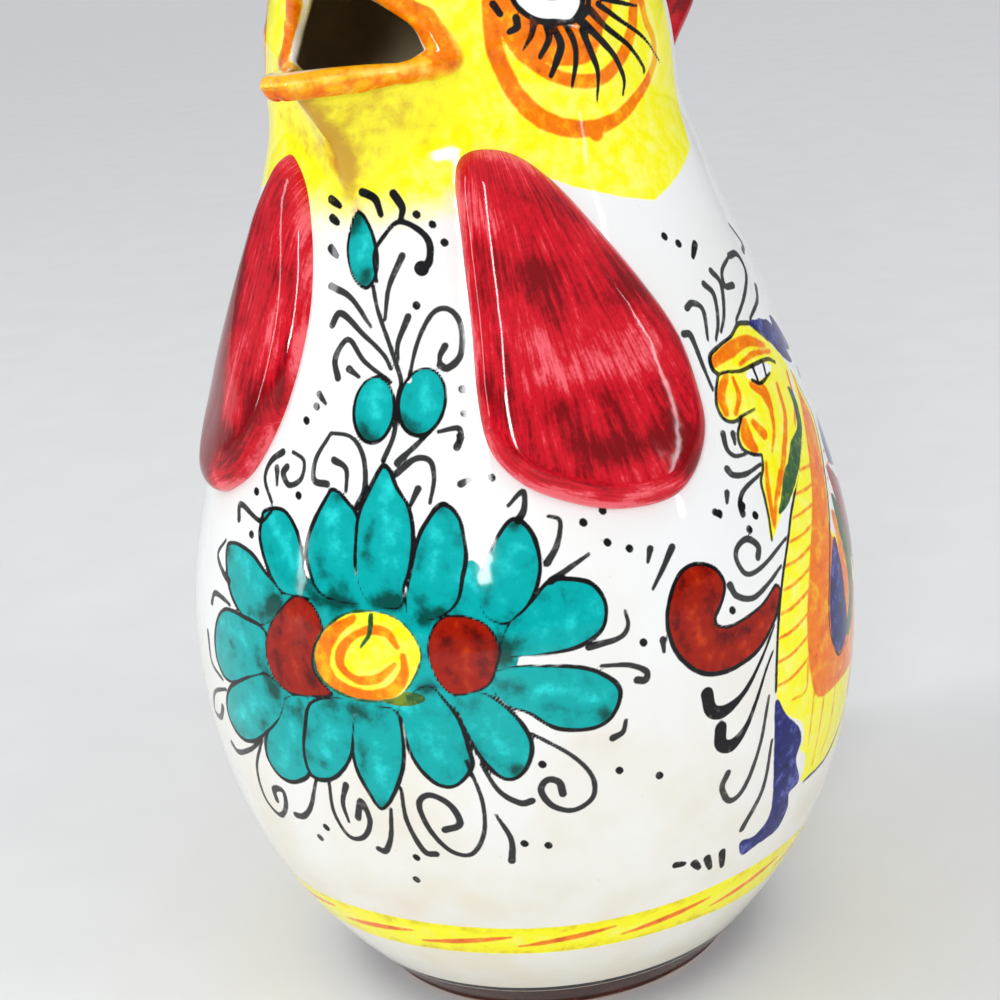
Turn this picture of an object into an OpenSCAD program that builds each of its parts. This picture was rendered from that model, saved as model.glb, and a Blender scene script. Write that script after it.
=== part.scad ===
// Glazed earthenware chicken pitcher.
// The pear-shaped body carries a head whose open beak is both mouth and spout.
// +Z is up, the beak points to -Y and the handle to +Y, and the origin is the centre of the foot.
// The pieces are the clay parts that are joined while soft and then fired as one.

/* [Body] */
// Diameter of the foot on the standing plane
foot_d = 76; // [70:1:84]
// Height of the foot, which is also the floor of the pitcher
foot_h = 7; // [5:0.5:10]
// Diameter of the belly at its widest
belly_d = 140; // [130:1:150]
// Height of the widest part of the belly
belly_z = 80; // [74:1:88]
// Diameter of the neck where the head is joined
neck_d = 92; // [86:1:98]
// Height of the joint between neck and head above the belly's widest part
neck_rise = 85; // [78:1:90]
// Thickness of the clay wall
wall = 5; // [4:0.25:6]

/* [Head] */
// Diameter of the head at its widest
head_d = 81; // [76:1:86]
// Height of the head's widest part above the neck joint
head_rise = 20; // [17:1:24]
// Height of the crown above the head's widest part
crown_rise = 57; // [52:1:62]

/* [Beak] */
// Height of the corners of the mouth above the head's widest part
mouth_rise = 9; // [7:0.5:12]
// Width across the corners of the mouth
mouth_w = 39; // [34:1:42]
// How far the corners of the mouth stand out of the head
mouth_proud = 4; // [2:0.5:6]
// Reach of the lower beak in front of the head
lower_reach = 26; // [23:1:30]
// Depth of the lower beak's keel below the mouth
keel_drop = 22; // [19:1:25]
// Reach of the upper beak in front of the head
upper_reach = 17; // [14:1:20]
// Height of the upper beak's tip above the mouth
upper_rise = 22; // [19:1:25]
// How far below the crown the upper beak's ridge meets the head
ridge_drop = 7; // [5:0.5:10]
// Thickness of the beak's wall
beak_wall = 4.5; // [3.5:0.25:5.5]

/* [Comb] */
// Height of the tallest lobe above the crown
comb_h = 21; // [18:1:25]
// Thickness of the comb
comb_t = 10; // [7:0.5:13]
// Length of one lobe's foot from front to back
comb_lobe_l = 19; // [17:0.5:21]

/* [Wattles] */
// Height of the narrow upper end's centre above the neck joint
wattle_top_rise = 3; // [0:0.5:6]
// Radius of the narrow upper end
wattle_top_r = 8; // [6:0.5:10]
// Height from the round lower end's centre to the upper one's
wattle_h = 33.5; // [30:0.5:37]
// Radius of the round lower end
wattle_low_r = 20; // [17:0.5:22]
// Angle of the upper end from the middle of the pair
wattle_top_angle = 24.5; // [22:0.5:27]
// Angle of the lower end from the middle of the pair
wattle_low_angle = 42; // [38:1:46]
// How far the pair sits turned to the left of the beak
wattle_turn = 8; // [0:1:10]
// Height of the relief above the skin
wattle_relief = 4.5; // [3:0.5:6]
// Height of the relief's edge above the skin
wattle_edge = 1.2; // [0.8:0.1:1.6]

/* [Handle] */
// Width of the handle
handle_w = 16; // [12:1:20]
// Thickness of the handle
handle_t = 9.5; // [8:0.5:12]
// Reach of the handle behind the head
handle_reach = 57; // [52:1:62]
// How far below the crown the handle's upper end is joined
handle_top_drop = 34; // [30:1:38]
// How far below the neck joint the handle's lower end is joined
handle_low_drop = 31; // [25:1:38]

/* [Hidden] */

// Smoothness of the turned skin, of the rounded beads and of the swept pieces
$fn = 96;
skin_steps = 7;
crown_steps = 14;
bead_fn = 20;
handle_sides = 18;
handle_steps = 5;
wattle_arc_steps = 14;
wattle_side_steps = 8;
wattle_rings = 6;

glaze_white = [0.95, 0.94, 0.91];
glaze_yellow = [0.98, 0.83, 0.10];
glaze_orange = [0.93, 0.47, 0.07];
glaze_crimson = [0.62, 0.09, 0.16];
glaze_brown = [0.30, 0.14, 0.10];

// Heights above the standing plane, stacked from the belly up
neck_z = belly_z + neck_rise;
head_z = neck_z + head_rise;
crown_z = head_z + crown_rise;
mouth_z = head_z + mouth_rise;
wattle_top_z = neck_z + wattle_top_rise;
wattle_low_z = wattle_top_z - wattle_h;
handle_top_z = crown_z - handle_top_drop;
handle_low_z = neck_z - handle_low_drop;

// The skin's outline: flank and shoulder lie between the named rings, by shares of both spans
flank_z_share = 0.4375;
flank_r_share = 0.76;
shoulder_z_share = 0.647;
shoulder_r_share = 0.54;

function mix(a, b, share) = a + (b - a) * share;

skin_z = [0, flank_z_share * belly_z, belly_z, mix(belly_z, neck_z, shoulder_z_share), neck_z, head_z];
skin_rings = [foot_d / 2, mix(foot_d, belly_d, flank_r_share) / 2, belly_d / 2,
              mix(belly_d, neck_d, shoulder_r_share) / 2, neck_d / 2, head_d / 2];

// Slope of the outline at each ring: upright at the belly and the head, free at the foot
function chord(i, j) = (skin_rings[j] - skin_rings[i]) / (skin_z[j] - skin_z[i]);
skin_slopes = [2 * chord(0, 1) - chord(0, 2), chord(0, 2), 0, chord(2, 4), chord(3, 5), 0];

function hermite(t, a, b, slope_a, slope_b) =
    (2 * t ^ 3 - 3 * t ^ 2 + 1) * a + (t ^ 3 - 2 * t ^ 2 + t) * slope_a
    + (3 * t ^ 2 - 2 * t ^ 3) * b + (t ^ 3 - t ^ 2) * slope_b;

function span_of(z, i = 0) = i == len(skin_z) - 2 || z < skin_z[i + 1] ? i : span_of(z, i + 1);

function turned_r(z, i) = let (h = skin_z[i + 1] - skin_z[i])
    hermite((z - skin_z[i]) / h, skin_rings[i], skin_rings[i + 1], skin_slopes[i] * h, skin_slopes[i + 1] * h);

function dome_r(z, drop) = (head_d / 2 - drop)
    * sqrt(max(0, 1 - ((z - head_z) / (crown_z - drop - head_z)) ^ 2));

// Radius of the outside at a height
function skin_r(z) = z > head_z ? dome_r(z, 0) : turned_r(z, span_of(z));

// Outline points between two heights under the head, moved inwards by a wall
function side_points(low, high, drop) = let (n = ceil((high - low) / head_z * skin_steps * len(skin_z)))
    [for (i = [0:n]) let (z = mix(low, high, i / n)) [skin_r(z) - drop, z]];

// Outline points of the dome from the widest ring to the top
function dome_points(drop) = [for (i = [1:crown_steps]) let (a = 90 * i / crown_steps)
    [(head_d / 2 - drop) * cos(a), head_z + (crown_z - drop - head_z) * sin(a)]];

function reversed(list) = [for (i = [len(list) - 1:-1:0]) list[i]];

// The whole outside as one solid, which the added pieces are cut by
module skin_solid() rotate_extrude()
    polygon(concat([[0, 0]], side_points(0, head_z, 0), dome_points(0)));

// A point on the skin, or above it by a relief, at an angle from the beak towards the left side
function on_skin(angle, z, relief) = let (r = skin_r(z) + relief) [r * sin(angle), -r * cos(angle), z];

// Foot: the floor disc, which shows as a dark ring below the belly
module foot() color(glaze_brown) rotate_extrude()
    polygon(concat([[0, 0]], side_points(0, foot_h, 0), [[0, foot_h]]));

// Body: the turned wall from the foot to the neck
module body() color(glaze_white) rotate_extrude()
    polygon(concat(side_points(foot_h, neck_z, 0), reversed(side_points(foot_h, neck_z, wall))));

// Beak: rounded wedges through beads at the mouth's corners, the tips, the keel and the ridge
bead_r = beak_wall / 2;
corner_x = mouth_w / 2 - bead_r;
corner_y = -sqrt(skin_r(mouth_z) ^ 2 - corner_x ^ 2) - mouth_proud + bead_r;
front_y = -skin_r(mouth_z);
lower_tip_y = front_y - lower_reach + bead_r;
upper_tip_y = front_y - upper_reach + bead_r;
upper_tip_z = mouth_z + upper_rise;
keel_z = mouth_z - keel_drop + bead_r;
keel_y = -skin_r(keel_z) + bead_r;
ridge_z = crown_z - ridge_drop - bead_r;
ridge_y = -skin_r(ridge_z);
root_share = 0.5;
cheek_share = 0.55;
tip_inset_share = 2.2;
keel_inset_share = 1.6;

module bead(p) translate(p) sphere(r = bead_r, $fn = bead_fn);
module bead_pair(p) {
    bead(p);
    bead([-p.x, p.y, p.z]);
}

module lower_wedge() hull() {
    bead([0, lower_tip_y, mouth_z - bead_r]);
    bead_pair([corner_x, corner_y, mouth_z - bead_r]);
    bead_pair([corner_x, corner_y * root_share, mouth_z - bead_r]);
    bead([0, keel_y, keel_z]);
    bead([0, keel_y * root_share, keel_z]);
}

module upper_wedge() hull() {
    bead([0, upper_tip_y, upper_tip_z]);
    bead_pair([corner_x, corner_y, mouth_z + bead_r]);
    bead_pair([corner_x, corner_y * root_share, mouth_z + bead_r]);
    bead_pair([corner_x * cheek_share, corner_y, mix(mouth_z, ridge_z, cheek_share)]);
    bead([0, ridge_y, ridge_z]);
    bead([0, ridge_y * root_share, ridge_z]);
}

// Mouth: the hollow of both beaks, which also opens the head
throat_x = corner_x - beak_wall;
throat_tip_y = lower_tip_y + tip_inset_share * beak_wall;
roof_tip_y = upper_tip_y + tip_inset_share * beak_wall;
throat_y = front_y * root_share;
throat_low_z = keel_z + keel_inset_share * beak_wall;
roof_high_z = ridge_z - keel_inset_share * beak_wall;

module lower_hollow() hull() {
    bead([0, throat_tip_y, mouth_z]);
    bead_pair([throat_x, corner_y, mouth_z]);
    bead_pair([throat_x, throat_y, mouth_z]);
    bead([0, keel_y, throat_low_z]);
    bead([0, throat_y, throat_low_z]);
}

module upper_hollow() hull() {
    bead([0, roof_tip_y, upper_tip_z - beak_wall]);
    bead([0, throat_tip_y, mouth_z]);
    bead_pair([throat_x, corner_y, mouth_z]);
    bead_pair([throat_x, throat_y, mouth_z]);
    bead([0, ridge_y, roof_high_z]);
    bead([0, throat_y, roof_high_z]);
}

module lower_beak() color(glaze_yellow) difference() {
    lower_wedge();
    lower_hollow();
    upper_hollow();
    skin_solid();
}

module upper_beak() color(glaze_orange) difference() {
    upper_wedge();
    lower_hollow();
    upper_hollow();
    skin_solid();
}

// Head: the neck and the dome, opened at the mouth
module head() color(glaze_yellow) difference() {
    rotate_extrude() polygon(concat(side_points(neck_z, head_z, 0), dome_points(0),
        reversed(concat(side_points(neck_z, head_z, wall), dome_points(wall)))));
    lower_hollow();
    upper_hollow();
}

// Comb: plump lobes that fan out along the middle of the crown, from the beak's ridge backwards
comb_angles = [-24, -7, 10, 27, 43];
comb_height_shares = [0.72, 0.95, 1, 0.86, 0.6];
lobe_tip_share = 0.7;

// A point on the crown's middle line, or above it, at an angle from the top towards the back
function on_crown(angle, rise) =
    [0, (head_d / 2 + rise) * sin(angle), head_z + (crown_z - head_z + rise) * cos(angle)];

module lobe_bead(p, share) translate(p)
    scale([comb_t * share / 2, comb_lobe_l * share / 2, comb_lobe_l * share / 2])
    sphere(r = 1, $fn = bead_fn);

module comb() color(glaze_crimson) difference() {
    union() for (i = [0:len(comb_angles) - 1]) hull() {
        lobe_bead(on_crown(comb_angles[i], 0), 1);
        lobe_bead(on_crown(comb_angles[i], comb_h * comb_height_shares[i] - comb_lobe_l * lobe_tip_share / 2),
            lobe_tip_share);
    }
    skin_solid();
    upper_wedge();
}

// Wattles: drops of clay in relief, round below and narrow above, wrapped on the skin
function ray(a) = [cos(a), sin(a)];

// Outline of a drop around two circles, in arc length and height
function drop_outline(a, ra, b, rb) =
    let (d = b - a, ax = atan2(d.y, d.x), w = acos((ra - rb) / norm(d)),
         arc_a = [for (i = [0:wattle_arc_steps]) a + ra * ray(ax + w + (360 - 2 * w) * i / wattle_arc_steps)],
         arc_b = [for (i = [0:wattle_arc_steps]) b + rb * ray(ax - w + 2 * w * i / wattle_arc_steps)])
    concat(arc_a, between(arc_a[wattle_arc_steps], arc_b[0]), arc_b, between(arc_b[wattle_arc_steps], arc_a[0]));

function between(p, q) = [for (i = [1:wattle_side_steps - 1]) mix(p, q, i / wattle_side_steps)];

function arc_of(angle) = angle * PI / 180 * skin_r(wattle_low_z);
function angle_of(arc, z) = arc / PI * 180 / skin_r(mix(wattle_low_z, z, wattle_wrap_share));

wattle_wrap_share = 0.5;
wattle_middle_share = 0.62;
wattle_crown_power = 4;
wattle_depth = wall / 2;

module wattle(side) {
    a = [side * arc_of(wattle_top_angle), wattle_top_z];
    b = [side * arc_of(wattle_low_angle), wattle_low_z];
    middle = mix(a, b, wattle_middle_share);
    outline = drop_outline(a, wattle_top_r, b, wattle_low_r);
    n = len(outline);
    place = function (p, relief) on_skin(angle_of(p.x, p.y) + wattle_turn, p.y, relief);
    crown = function (s) wattle_edge + (wattle_relief - wattle_edge) * sqrt(1 - s ^ wattle_crown_power);
    points = concat([place(middle, wattle_relief)],
        [for (j = [1:wattle_rings]) let (s = sin(90 * j / wattle_rings)) each
            [for (k = [0:n - 1]) place(mix(middle, outline[k], s), crown(s))]],
        [for (k = [0:n - 1]) place(outline[k], -wattle_depth)],
        [place(middle, -wattle_depth)]);
    last = len(points) - 1;
    ring = function (j, k) 1 + j * n + (k % n);
    faces = concat(
        [for (k = [0:n - 1]) [0, ring(0, k), ring(0, k + 1)]],
        [for (j = [0:wattle_rings - 1], k = [0:n - 1]) each
            [[ring(j, k), ring(j + 1, k), ring(j + 1, k + 1)], [ring(j, k), ring(j + 1, k + 1), ring(j, k + 1)]]],
        [for (k = [0:n - 1]) [last, ring(wattle_rings, k + 1), ring(wattle_rings, k)]]);
    difference() {
        polyhedron(points, faces);
        skin_solid();
    }
}

module left_wattle() color(glaze_crimson) wattle(1);
module right_wattle() color(glaze_crimson) wattle(-1);

// Handle: an oval strap from the back of the crown, out and down to the shoulder
handle_out_shares = [0.2, 0.45, 0.73, 0.94, 0.98, 0.83, 0.6, 0.45, 0.31];
handle_up_shares = [1.16, 1.29, 1.29, 1.16, 0.97, 0.8, 0.66, 0.49, 0.26];
handle_root_share = 0.86;
handle_route = concat(
    [[skin_r(handle_top_z) * handle_root_share, handle_top_z]],
    [for (i = [0:len(handle_out_shares) - 1])
        [head_d / 2 + handle_out_shares[i] * handle_reach, mix(handle_low_z, handle_top_z, handle_up_shares[i])]],
    [[skin_r(handle_low_z) * handle_root_share, handle_low_z]]);

// Smooth curve through the route, with its end points repeated for the end slopes
function route_at(i) = handle_route[max(0, min(len(handle_route) - 1, i))];
function route_point(i, t) = hermite(t, route_at(i), route_at(i + 1),
    (route_at(i + 1) - route_at(i - 1)) / 2, (route_at(i + 2) - route_at(i)) / 2);
handle_line = concat([for (i = [0:len(handle_route) - 2], j = [0:handle_steps - 1]) route_point(i, j / handle_steps)],
    [route_at(len(handle_route) - 1)]);

module handle() color(glaze_crimson) {
    rings = len(handle_line);
    tangent = function (i) let (d = handle_line[min(i + 1, rings - 1)] - handle_line[max(i - 1, 0)]) d / norm(d);
    points = [for (i = [0:rings - 1]) let (t = tangent(i), c = handle_line[i]) each
        [for (k = [0:handle_sides - 1]) let (q = ray(360 * k / handle_sides), side = q.y * handle_t / 2)
            [q.x * handle_w / 2, c.x - t.y * side, c.y + t.x * side]]];
    at = function (i, k) i * handle_sides + k % handle_sides;
    faces = concat(
        [for (k = [1:handle_sides - 2]) [at(0, 0), at(0, k), at(0, k + 1)]],
        [for (i = [0:rings - 2], k = [0:handle_sides - 1]) each
            [[at(i, k), at(i + 1, k), at(i + 1, k + 1)], [at(i, k), at(i + 1, k + 1), at(i, k + 1)]]],
        [for (k = [1:handle_sides - 2]) [at(rings - 1, 0), at(rings - 1, k + 1), at(rings - 1, k)]]);
    difference() {
        polyhedron(points, faces);
        skin_solid();
    }
}

foot();
body();
head();
lower_beak();
upper_beak();
comb();
left_wattle();
right_wattle();
handle();
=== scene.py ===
"""Looks of the chicken pitcher: a hand-painted, tin-glazed earthenware pitcher, built round its solids.

Lengths are in millimetres up to the point where a mesh is made. Angles go round the pitcher from the beak
towards the chicken's left side, which is +X. Places on the painting are named by pixels of the photograph's
1000 x 1000 frame and thrown on to the skin along the camera's rays.
"""

import math

import bmesh
import bpy
import numpy as np
from mathutils import Matrix, Vector


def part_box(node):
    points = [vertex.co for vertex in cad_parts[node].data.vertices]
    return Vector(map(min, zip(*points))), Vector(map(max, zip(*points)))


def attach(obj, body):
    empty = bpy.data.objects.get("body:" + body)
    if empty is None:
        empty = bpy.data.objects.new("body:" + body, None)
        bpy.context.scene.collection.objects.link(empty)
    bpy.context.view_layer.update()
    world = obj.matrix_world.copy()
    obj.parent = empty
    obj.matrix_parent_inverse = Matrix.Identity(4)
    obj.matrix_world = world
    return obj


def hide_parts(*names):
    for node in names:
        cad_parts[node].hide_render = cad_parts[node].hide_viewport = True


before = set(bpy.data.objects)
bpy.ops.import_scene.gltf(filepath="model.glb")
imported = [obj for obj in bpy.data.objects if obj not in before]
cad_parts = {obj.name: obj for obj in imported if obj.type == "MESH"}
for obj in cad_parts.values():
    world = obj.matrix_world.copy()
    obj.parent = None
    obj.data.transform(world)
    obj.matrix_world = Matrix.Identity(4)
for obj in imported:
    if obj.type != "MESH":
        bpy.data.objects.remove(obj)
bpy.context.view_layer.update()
MM = 0.001
LARGE = 1e6
TINY = 1e-9


def node_box(name):
    """Lowest and highest corner of a solid, in millimetres."""
    low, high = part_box(name)
    return np.array(low) / MM, np.array(high) / MM


# Sizes of the skin: what the solids' boxes tell, and the rest as the solids have it
FOOT_H = node_box("foot")[1][2]
NECK_Z = node_box("body")[1][2]
CROWN_Z = node_box("head")[1][2]
BELLY_R = node_box("body")[1][0]
NECK_R = node_box("head")[1][0]
FOOT_R = 38.0
HEAD_R = 40.5
BELLY_Z = 80.0
HEAD_RISE = 20.0
HEAD_Z = NECK_Z + HEAD_RISE
WALL = 5.0
FLANK_Z_SHARE, FLANK_R_SHARE = 0.4375, 0.76
SHOULDER_Z_SHARE, SHOULDER_R_SHARE = 0.647, 0.54


def mix(a, b, share):
    return a + (b - a) * share


def smooth_step(t):
    return t**2 * (3 - 2 * t)


SKIN_Z = np.array([0, FLANK_Z_SHARE * BELLY_Z, BELLY_Z, mix(BELLY_Z, NECK_Z, SHOULDER_Z_SHARE), NECK_Z,
                   HEAD_Z])
SKIN_R = np.array([FOOT_R, mix(FOOT_R, BELLY_R, FLANK_R_SHARE), BELLY_R,
                   mix(BELLY_R, NECK_R, SHOULDER_R_SHARE), NECK_R, HEAD_R])


def chord(i, j):
    return (SKIN_R[j] - SKIN_R[i]) / (SKIN_Z[j] - SKIN_Z[i])


SKIN_SLOPES = np.array([2 * chord(0, 1) - chord(0, 2), chord(0, 2), 0, chord(2, 4), chord(3, 5), 0])


def skin_radius(z):
    """Radius of the turned outside at a height."""
    z = np.asarray(z, float)
    low = np.clip(z, 0, HEAD_Z)
    i = np.clip(np.searchsorted(SKIN_Z, low, side="right") - 1, 0, len(SKIN_Z) - 2)
    span = SKIN_Z[i + 1] - SKIN_Z[i]
    t = (low - SKIN_Z[i]) / span
    turned = ((2 * t**3 - 3 * t**2 + 1) * SKIN_R[i] + (t**3 - 2 * t**2 + t) * span * SKIN_SLOPES[i]
              + (3 * t**2 - 2 * t**3) * SKIN_R[i + 1] + (t**3 - t**2) * span * SKIN_SLOPES[i + 1])
    rise = np.clip((z - HEAD_Z) / (CROWN_Z - HEAD_Z), 0, 1)
    return np.where(z > HEAD_Z, HEAD_R * np.sqrt(1 - rise**2), turned)


def on_skin(degrees, z, lift=0.0):
    """Points on the skin at angles from the beak and heights."""
    a = np.radians(degrees)
    r = skin_radius(z) + lift
    return np.stack([r * np.sin(a), -r * np.cos(a), np.asarray(z, float) + 0 * r], -1)


# The hand-formed pitcher is a little flat on the chicken's right side
PRESS_DEPTH = 1.8
PRESS_DEGREES, PRESS_HALF_DEGREES = -64.0, 60.0
PRESS_Z, PRESS_HALF_Z = 122.0, 62.0
AXIS_R = 1.0


def degrees_round(p):
    """Angles of places round the pitcher."""
    return np.degrees(np.arctan2(p[..., 0], -p[..., 1]))


def press_depth(p):
    """How far the skin is pressed in at places on it."""
    round_it = np.clip(1 - ((degrees_round(p) - PRESS_DEGREES) / PRESS_HALF_DEGREES)**2, 0, 1)
    up_it = np.clip(1 - ((p[..., 2] - PRESS_Z) / PRESS_HALF_Z)**2, 0, 1)
    return PRESS_DEPTH * (round_it * up_it)**2


def moved_in(p, depth):
    """Places moved towards the axis by a depth."""
    share = 1 - depth / np.maximum(np.hypot(p[..., 0], p[..., 1]), AXIS_R)
    return p * np.stack([share, share, np.ones_like(share)], -1)


# Camera: stands to the chicken's left of its beak, a little above the mouth, and leans with the photograph
VIEW_ANGLE = math.radians(31.8)
VIEW_DISTANCE = 402.6
VIEW_HEIGHT = 227.7
VIEW_PITCH = math.radians(17.79)
VIEW_YAW = math.radians(0.42)
VIEW_ROLL = math.radians(-5.95)
FRAME_PIXELS = 1000
FOCAL_PIXELS = 2000
SENSOR_MM = 36.0


def camera_axes():
    """Place, sight line, right and up of the photograph's camera."""
    towards = VIEW_ANGLE + VIEW_YAW
    ahead = math.cos(VIEW_PITCH)
    sight = np.array([-ahead * math.sin(towards), ahead * math.cos(towards), -math.sin(VIEW_PITCH)])
    level = np.cross(sight, [0, 0, 1])
    level /= np.linalg.norm(level)
    upright = np.cross(level, sight)
    right = math.cos(VIEW_ROLL) * level + math.sin(VIEW_ROLL) * upright
    up = math.cos(VIEW_ROLL) * upright - math.sin(VIEW_ROLL) * level
    out, aside = -VIEW_DISTANCE * math.cos(VIEW_ANGLE), VIEW_DISTANCE * math.sin(VIEW_ANGLE)
    return np.array([aside, out, VIEW_HEIGHT]), sight, right, up


CAMERA, SIGHT, RIGHT, UP = camera_axes()
RAY_STEPS = 900
RAY_NEAR, RAY_FAR = 300.0, 480.0


def skin_gap(p):
    """How far places lie outside the turned skin, measured level."""
    return np.hypot(p[..., 0], p[..., 1]) - skin_radius(p[..., 2])


def unit(rays):
    return rays / np.linalg.norm(rays, axis=1, keepdims=True)


def march(starts, rays, steps, gap_of):
    """Reach along rays to where a gap first closes, the rays on which it does, and the gaps on the way."""
    gap = gap_of(starts + rays[:, None] * steps[None, :, None])
    hit = np.argmax(gap < 0, axis=1)
    before = np.maximum(hit - 1, 0)
    rows = np.arange(len(rays))
    share = gap[rows, before] / (gap[rows, before] - gap[rows, hit] + TINY)
    return mix(steps[before], steps[hit], share), hit > 0, gap


def photo_to_skin(pixels):
    """Points on the skin that the photograph shows at these pixels, or the nearest where they miss it."""
    pixels = np.atleast_2d(np.asarray(pixels, float))
    right, down = ((pixels - FRAME_PIXELS / 2) / FOCAL_PIXELS).T[..., None]
    rays = unit(SIGHT + RIGHT * right - UP * down)
    steps = np.linspace(RAY_NEAR, RAY_FAR, RAY_STEPS)
    reach, found, gap = march(CAMERA, rays, steps, lambda p: skin_gap(p) + press_depth(p))
    reach = np.where(found, reach, steps[np.maximum(gap.argmin(1) - 1, 0)])
    place = CAMERA + rays * reach[:, None]
    return moved_in(place, -press_depth(place))


OFF_SKIN = 14.0
OFF_STEPS = 40


def behind(points):
    """Where the skin lies behind places a little off it, as the camera sees them."""
    rays = unit(points - CAMERA)
    reach, found, _ = march(points[:, None], rays, np.linspace(0, OFF_SKIN, OFF_STEPS), skin_gap)
    return points + rays * np.where(found, reach, 0)[:, None]


# Meshes
SHARP_ANGLE = math.radians(55)


def make_piece(name, points, faces, *nodes):
    """A smooth mesh piece from points in millimetres, hung on root; the named solids are hidden."""
    mesh = bpy.data.meshes.new(name)
    mesh.from_pydata((np.asarray(points) * MM).tolist(), [], [list(f) for f in faces])
    mesh.validate()
    mesh.shade_smooth()
    mesh.set_sharp_from_angle(angle=SHARP_ANGLE)
    piece = bpy.data.objects.new(name, mesh)
    bpy.context.scene.collection.objects.link(piece)
    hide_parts(*nodes)
    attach(piece, "root")
    return piece


def points_of(piece):
    """Vertices of a piece, in millimetres."""
    places = np.zeros(len(piece.data.vertices) * 3)
    piece.data.vertices.foreach_get("co", places)
    return places.reshape(-1, 3) / MM


def set_layer(piece, name, values):
    """Stores one number per vertex, for the materials to read."""
    layer = piece.data.attributes.new(name, "FLOAT", "POINT")
    layer.data.foreach_set("value", np.asarray(values, np.float32))


def press_in(piece):
    """Gives a finished piece the flat side."""
    p = points_of(piece)
    piece.data.vertices.foreach_set("co", (moved_in(p, press_depth(p)) * MM).ravel())
    piece.data.update()


def grid_faces(rows, columns):
    """Quads of a grid whose rows close; they face outward when rows climb and columns go round leftwards."""
    faces = []
    for i in range(rows - 1):
        for j in range(columns):
            k = (j + 1) % columns
            faces.append((i * columns + j, i * columns + k, (i + 1) * columns + k, (i + 1) * columns + j))
    return faces


def closed_grid(rows, columns):
    """The quads of such a grid, and a cap over its first row and its last."""
    last = (rows - 1) * columns
    caps = [tuple(range(columns - 1, -1, -1)), tuple(range(last, last + columns))]
    return grid_faces(rows, columns) + caps


LOOP_STEPS = 24


def run_along(line):
    """Length of a line up to each of its points."""
    return np.concatenate([[0], np.cumsum(np.linalg.norm(np.diff(line, axis=0), axis=1))])


def smooth_line(points, count, closed=False):
    """A smooth line through a few points, with even steps along it."""
    p = np.asarray(points, float)
    ends = np.concatenate([p[-1:], p, p[:2]] if closed else [[2 * p[0] - p[1]], p, [2 * p[-1] - p[-2]]])
    t = np.linspace(0, 1, LOOP_STEPS, endpoint=False)[:, None]
    runs = []
    for a, b, c, d in zip(ends, ends[1:], ends[2:], ends[3:]):
        runs.append(0.5 * (2 * b + (c - a) * t + (2 * a - 5 * b + 4 * c - d) * t**2
                           + (3 * b - a - 3 * c + d) * t**3))
    line = np.concatenate(runs + [p[:1] if closed else p[-1:]])
    run = run_along(line)
    even = np.linspace(0, run[-1], count, endpoint=not closed)
    return np.stack([np.interp(even, run, line[:, i]) for i in range(line.shape[1])], -1)


# Hollow body: a grid round the outside, over the rim, down the inside and across the floor
BODY_COLUMNS = 920
BODY_STEP = 0.47
INSIDE_STEP = 4.0
FLOOR_Z = 12.0
FINE_STEPS = 1000
MIDDLE_SHARE = 0.02


def meridian(low, high, step, inset=0.0):
    """Radii and heights up the skin, evenly spaced along it, or inside it by an inset."""
    z = np.linspace(low, high, FINE_STEPS)
    run = run_along(np.stack([skin_radius(z), z], -1))
    even = np.interp(np.linspace(0, run[-1], int(run[-1] / step) + 1), run, z)
    return np.stack([skin_radius(even) - inset, even], -1)


def turned(outline, columns):
    """Points of an outline of radii and heights turned about the axis, row by row."""
    a = np.linspace(0, 2 * math.pi, columns, endpoint=False)
    r, z = outline[:, :1], outline[:, 1:]
    return np.stack([r * np.sin(a), -r * np.cos(a), z + 0 * a], -1).reshape(-1, 3)


def cylinder_map(piece, rows, columns, run):
    """Unwraps a turned piece: round the axis, and along its outline."""
    layer = piece.data.uv_layers.new(name="OFBake")
    corners = np.zeros(len(piece.data.loops), np.int64)
    piece.data.loops.foreach_get("vertex_index", corners)
    column = (corners % columns) / columns
    row = np.interp(corners // columns, np.arange(rows), run / run[-1])
    face_of = np.repeat(np.arange(len(piece.data.polygons)), [p.loop_total for p in piece.data.polygons])
    seam = np.zeros(len(piece.data.polygons), bool)
    np.logical_or.at(seam, face_of, corners % columns == columns - 1)
    column = np.where(seam[face_of] & (column == 0), 1.0, column)
    layer.data.foreach_set("uv", np.stack([column, row], -1).astype(np.float32).ravel())


def make_body():
    outside = meridian(FOOT_H, NECK_Z, BODY_STEP)
    inside = meridian(FLOOR_Z, NECK_Z, INSIDE_STEP, WALL)[::-1]
    middle = inside[-1][0] * MIDDLE_SHARE
    outline = np.concatenate([[[middle, FOOT_H]], outside, inside, [[middle, FLOOR_Z]]])
    faces = closed_grid(len(outline), BODY_COLUMNS)
    body = make_piece("body_painted", turned(outline, BODY_COLUMNS), faces, "body")
    cylinder_map(body, len(outline), BODY_COLUMNS, run_along(outline))
    within = np.arange(len(outline)) > len(outside)
    set_layer(body, "inside", np.repeat(within, BODY_COLUMNS))
    return body


# Foot: a short turned ring with a rounded edge, flat below
FOOT_EDGE_R = 1.6
FOOT_STEPS = 8
FOOT_COLUMNS = 240


def make_foot():
    quarter = np.linspace(-math.pi / 2, 0, FOOT_STEPS)
    edge_r = float(skin_radius(FOOT_EDGE_R)) - FOOT_EDGE_R
    edge = np.stack([edge_r + FOOT_EDGE_R * np.cos(quarter), FOOT_EDGE_R * (1 + np.sin(quarter))], -1)
    side = meridian(FOOT_EDGE_R, FOOT_H, FOOT_EDGE_R / 2)[1:]
    middle = FOOT_R * MIDDLE_SHARE
    outline = np.concatenate([[[middle, 0]], edge, side, [[middle, FOOT_H]]])
    faces = closed_grid(len(outline), FOOT_COLUMNS)
    return make_piece("foot_ring", turned(outline, FOOT_COLUMNS), faces, "foot")


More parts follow.
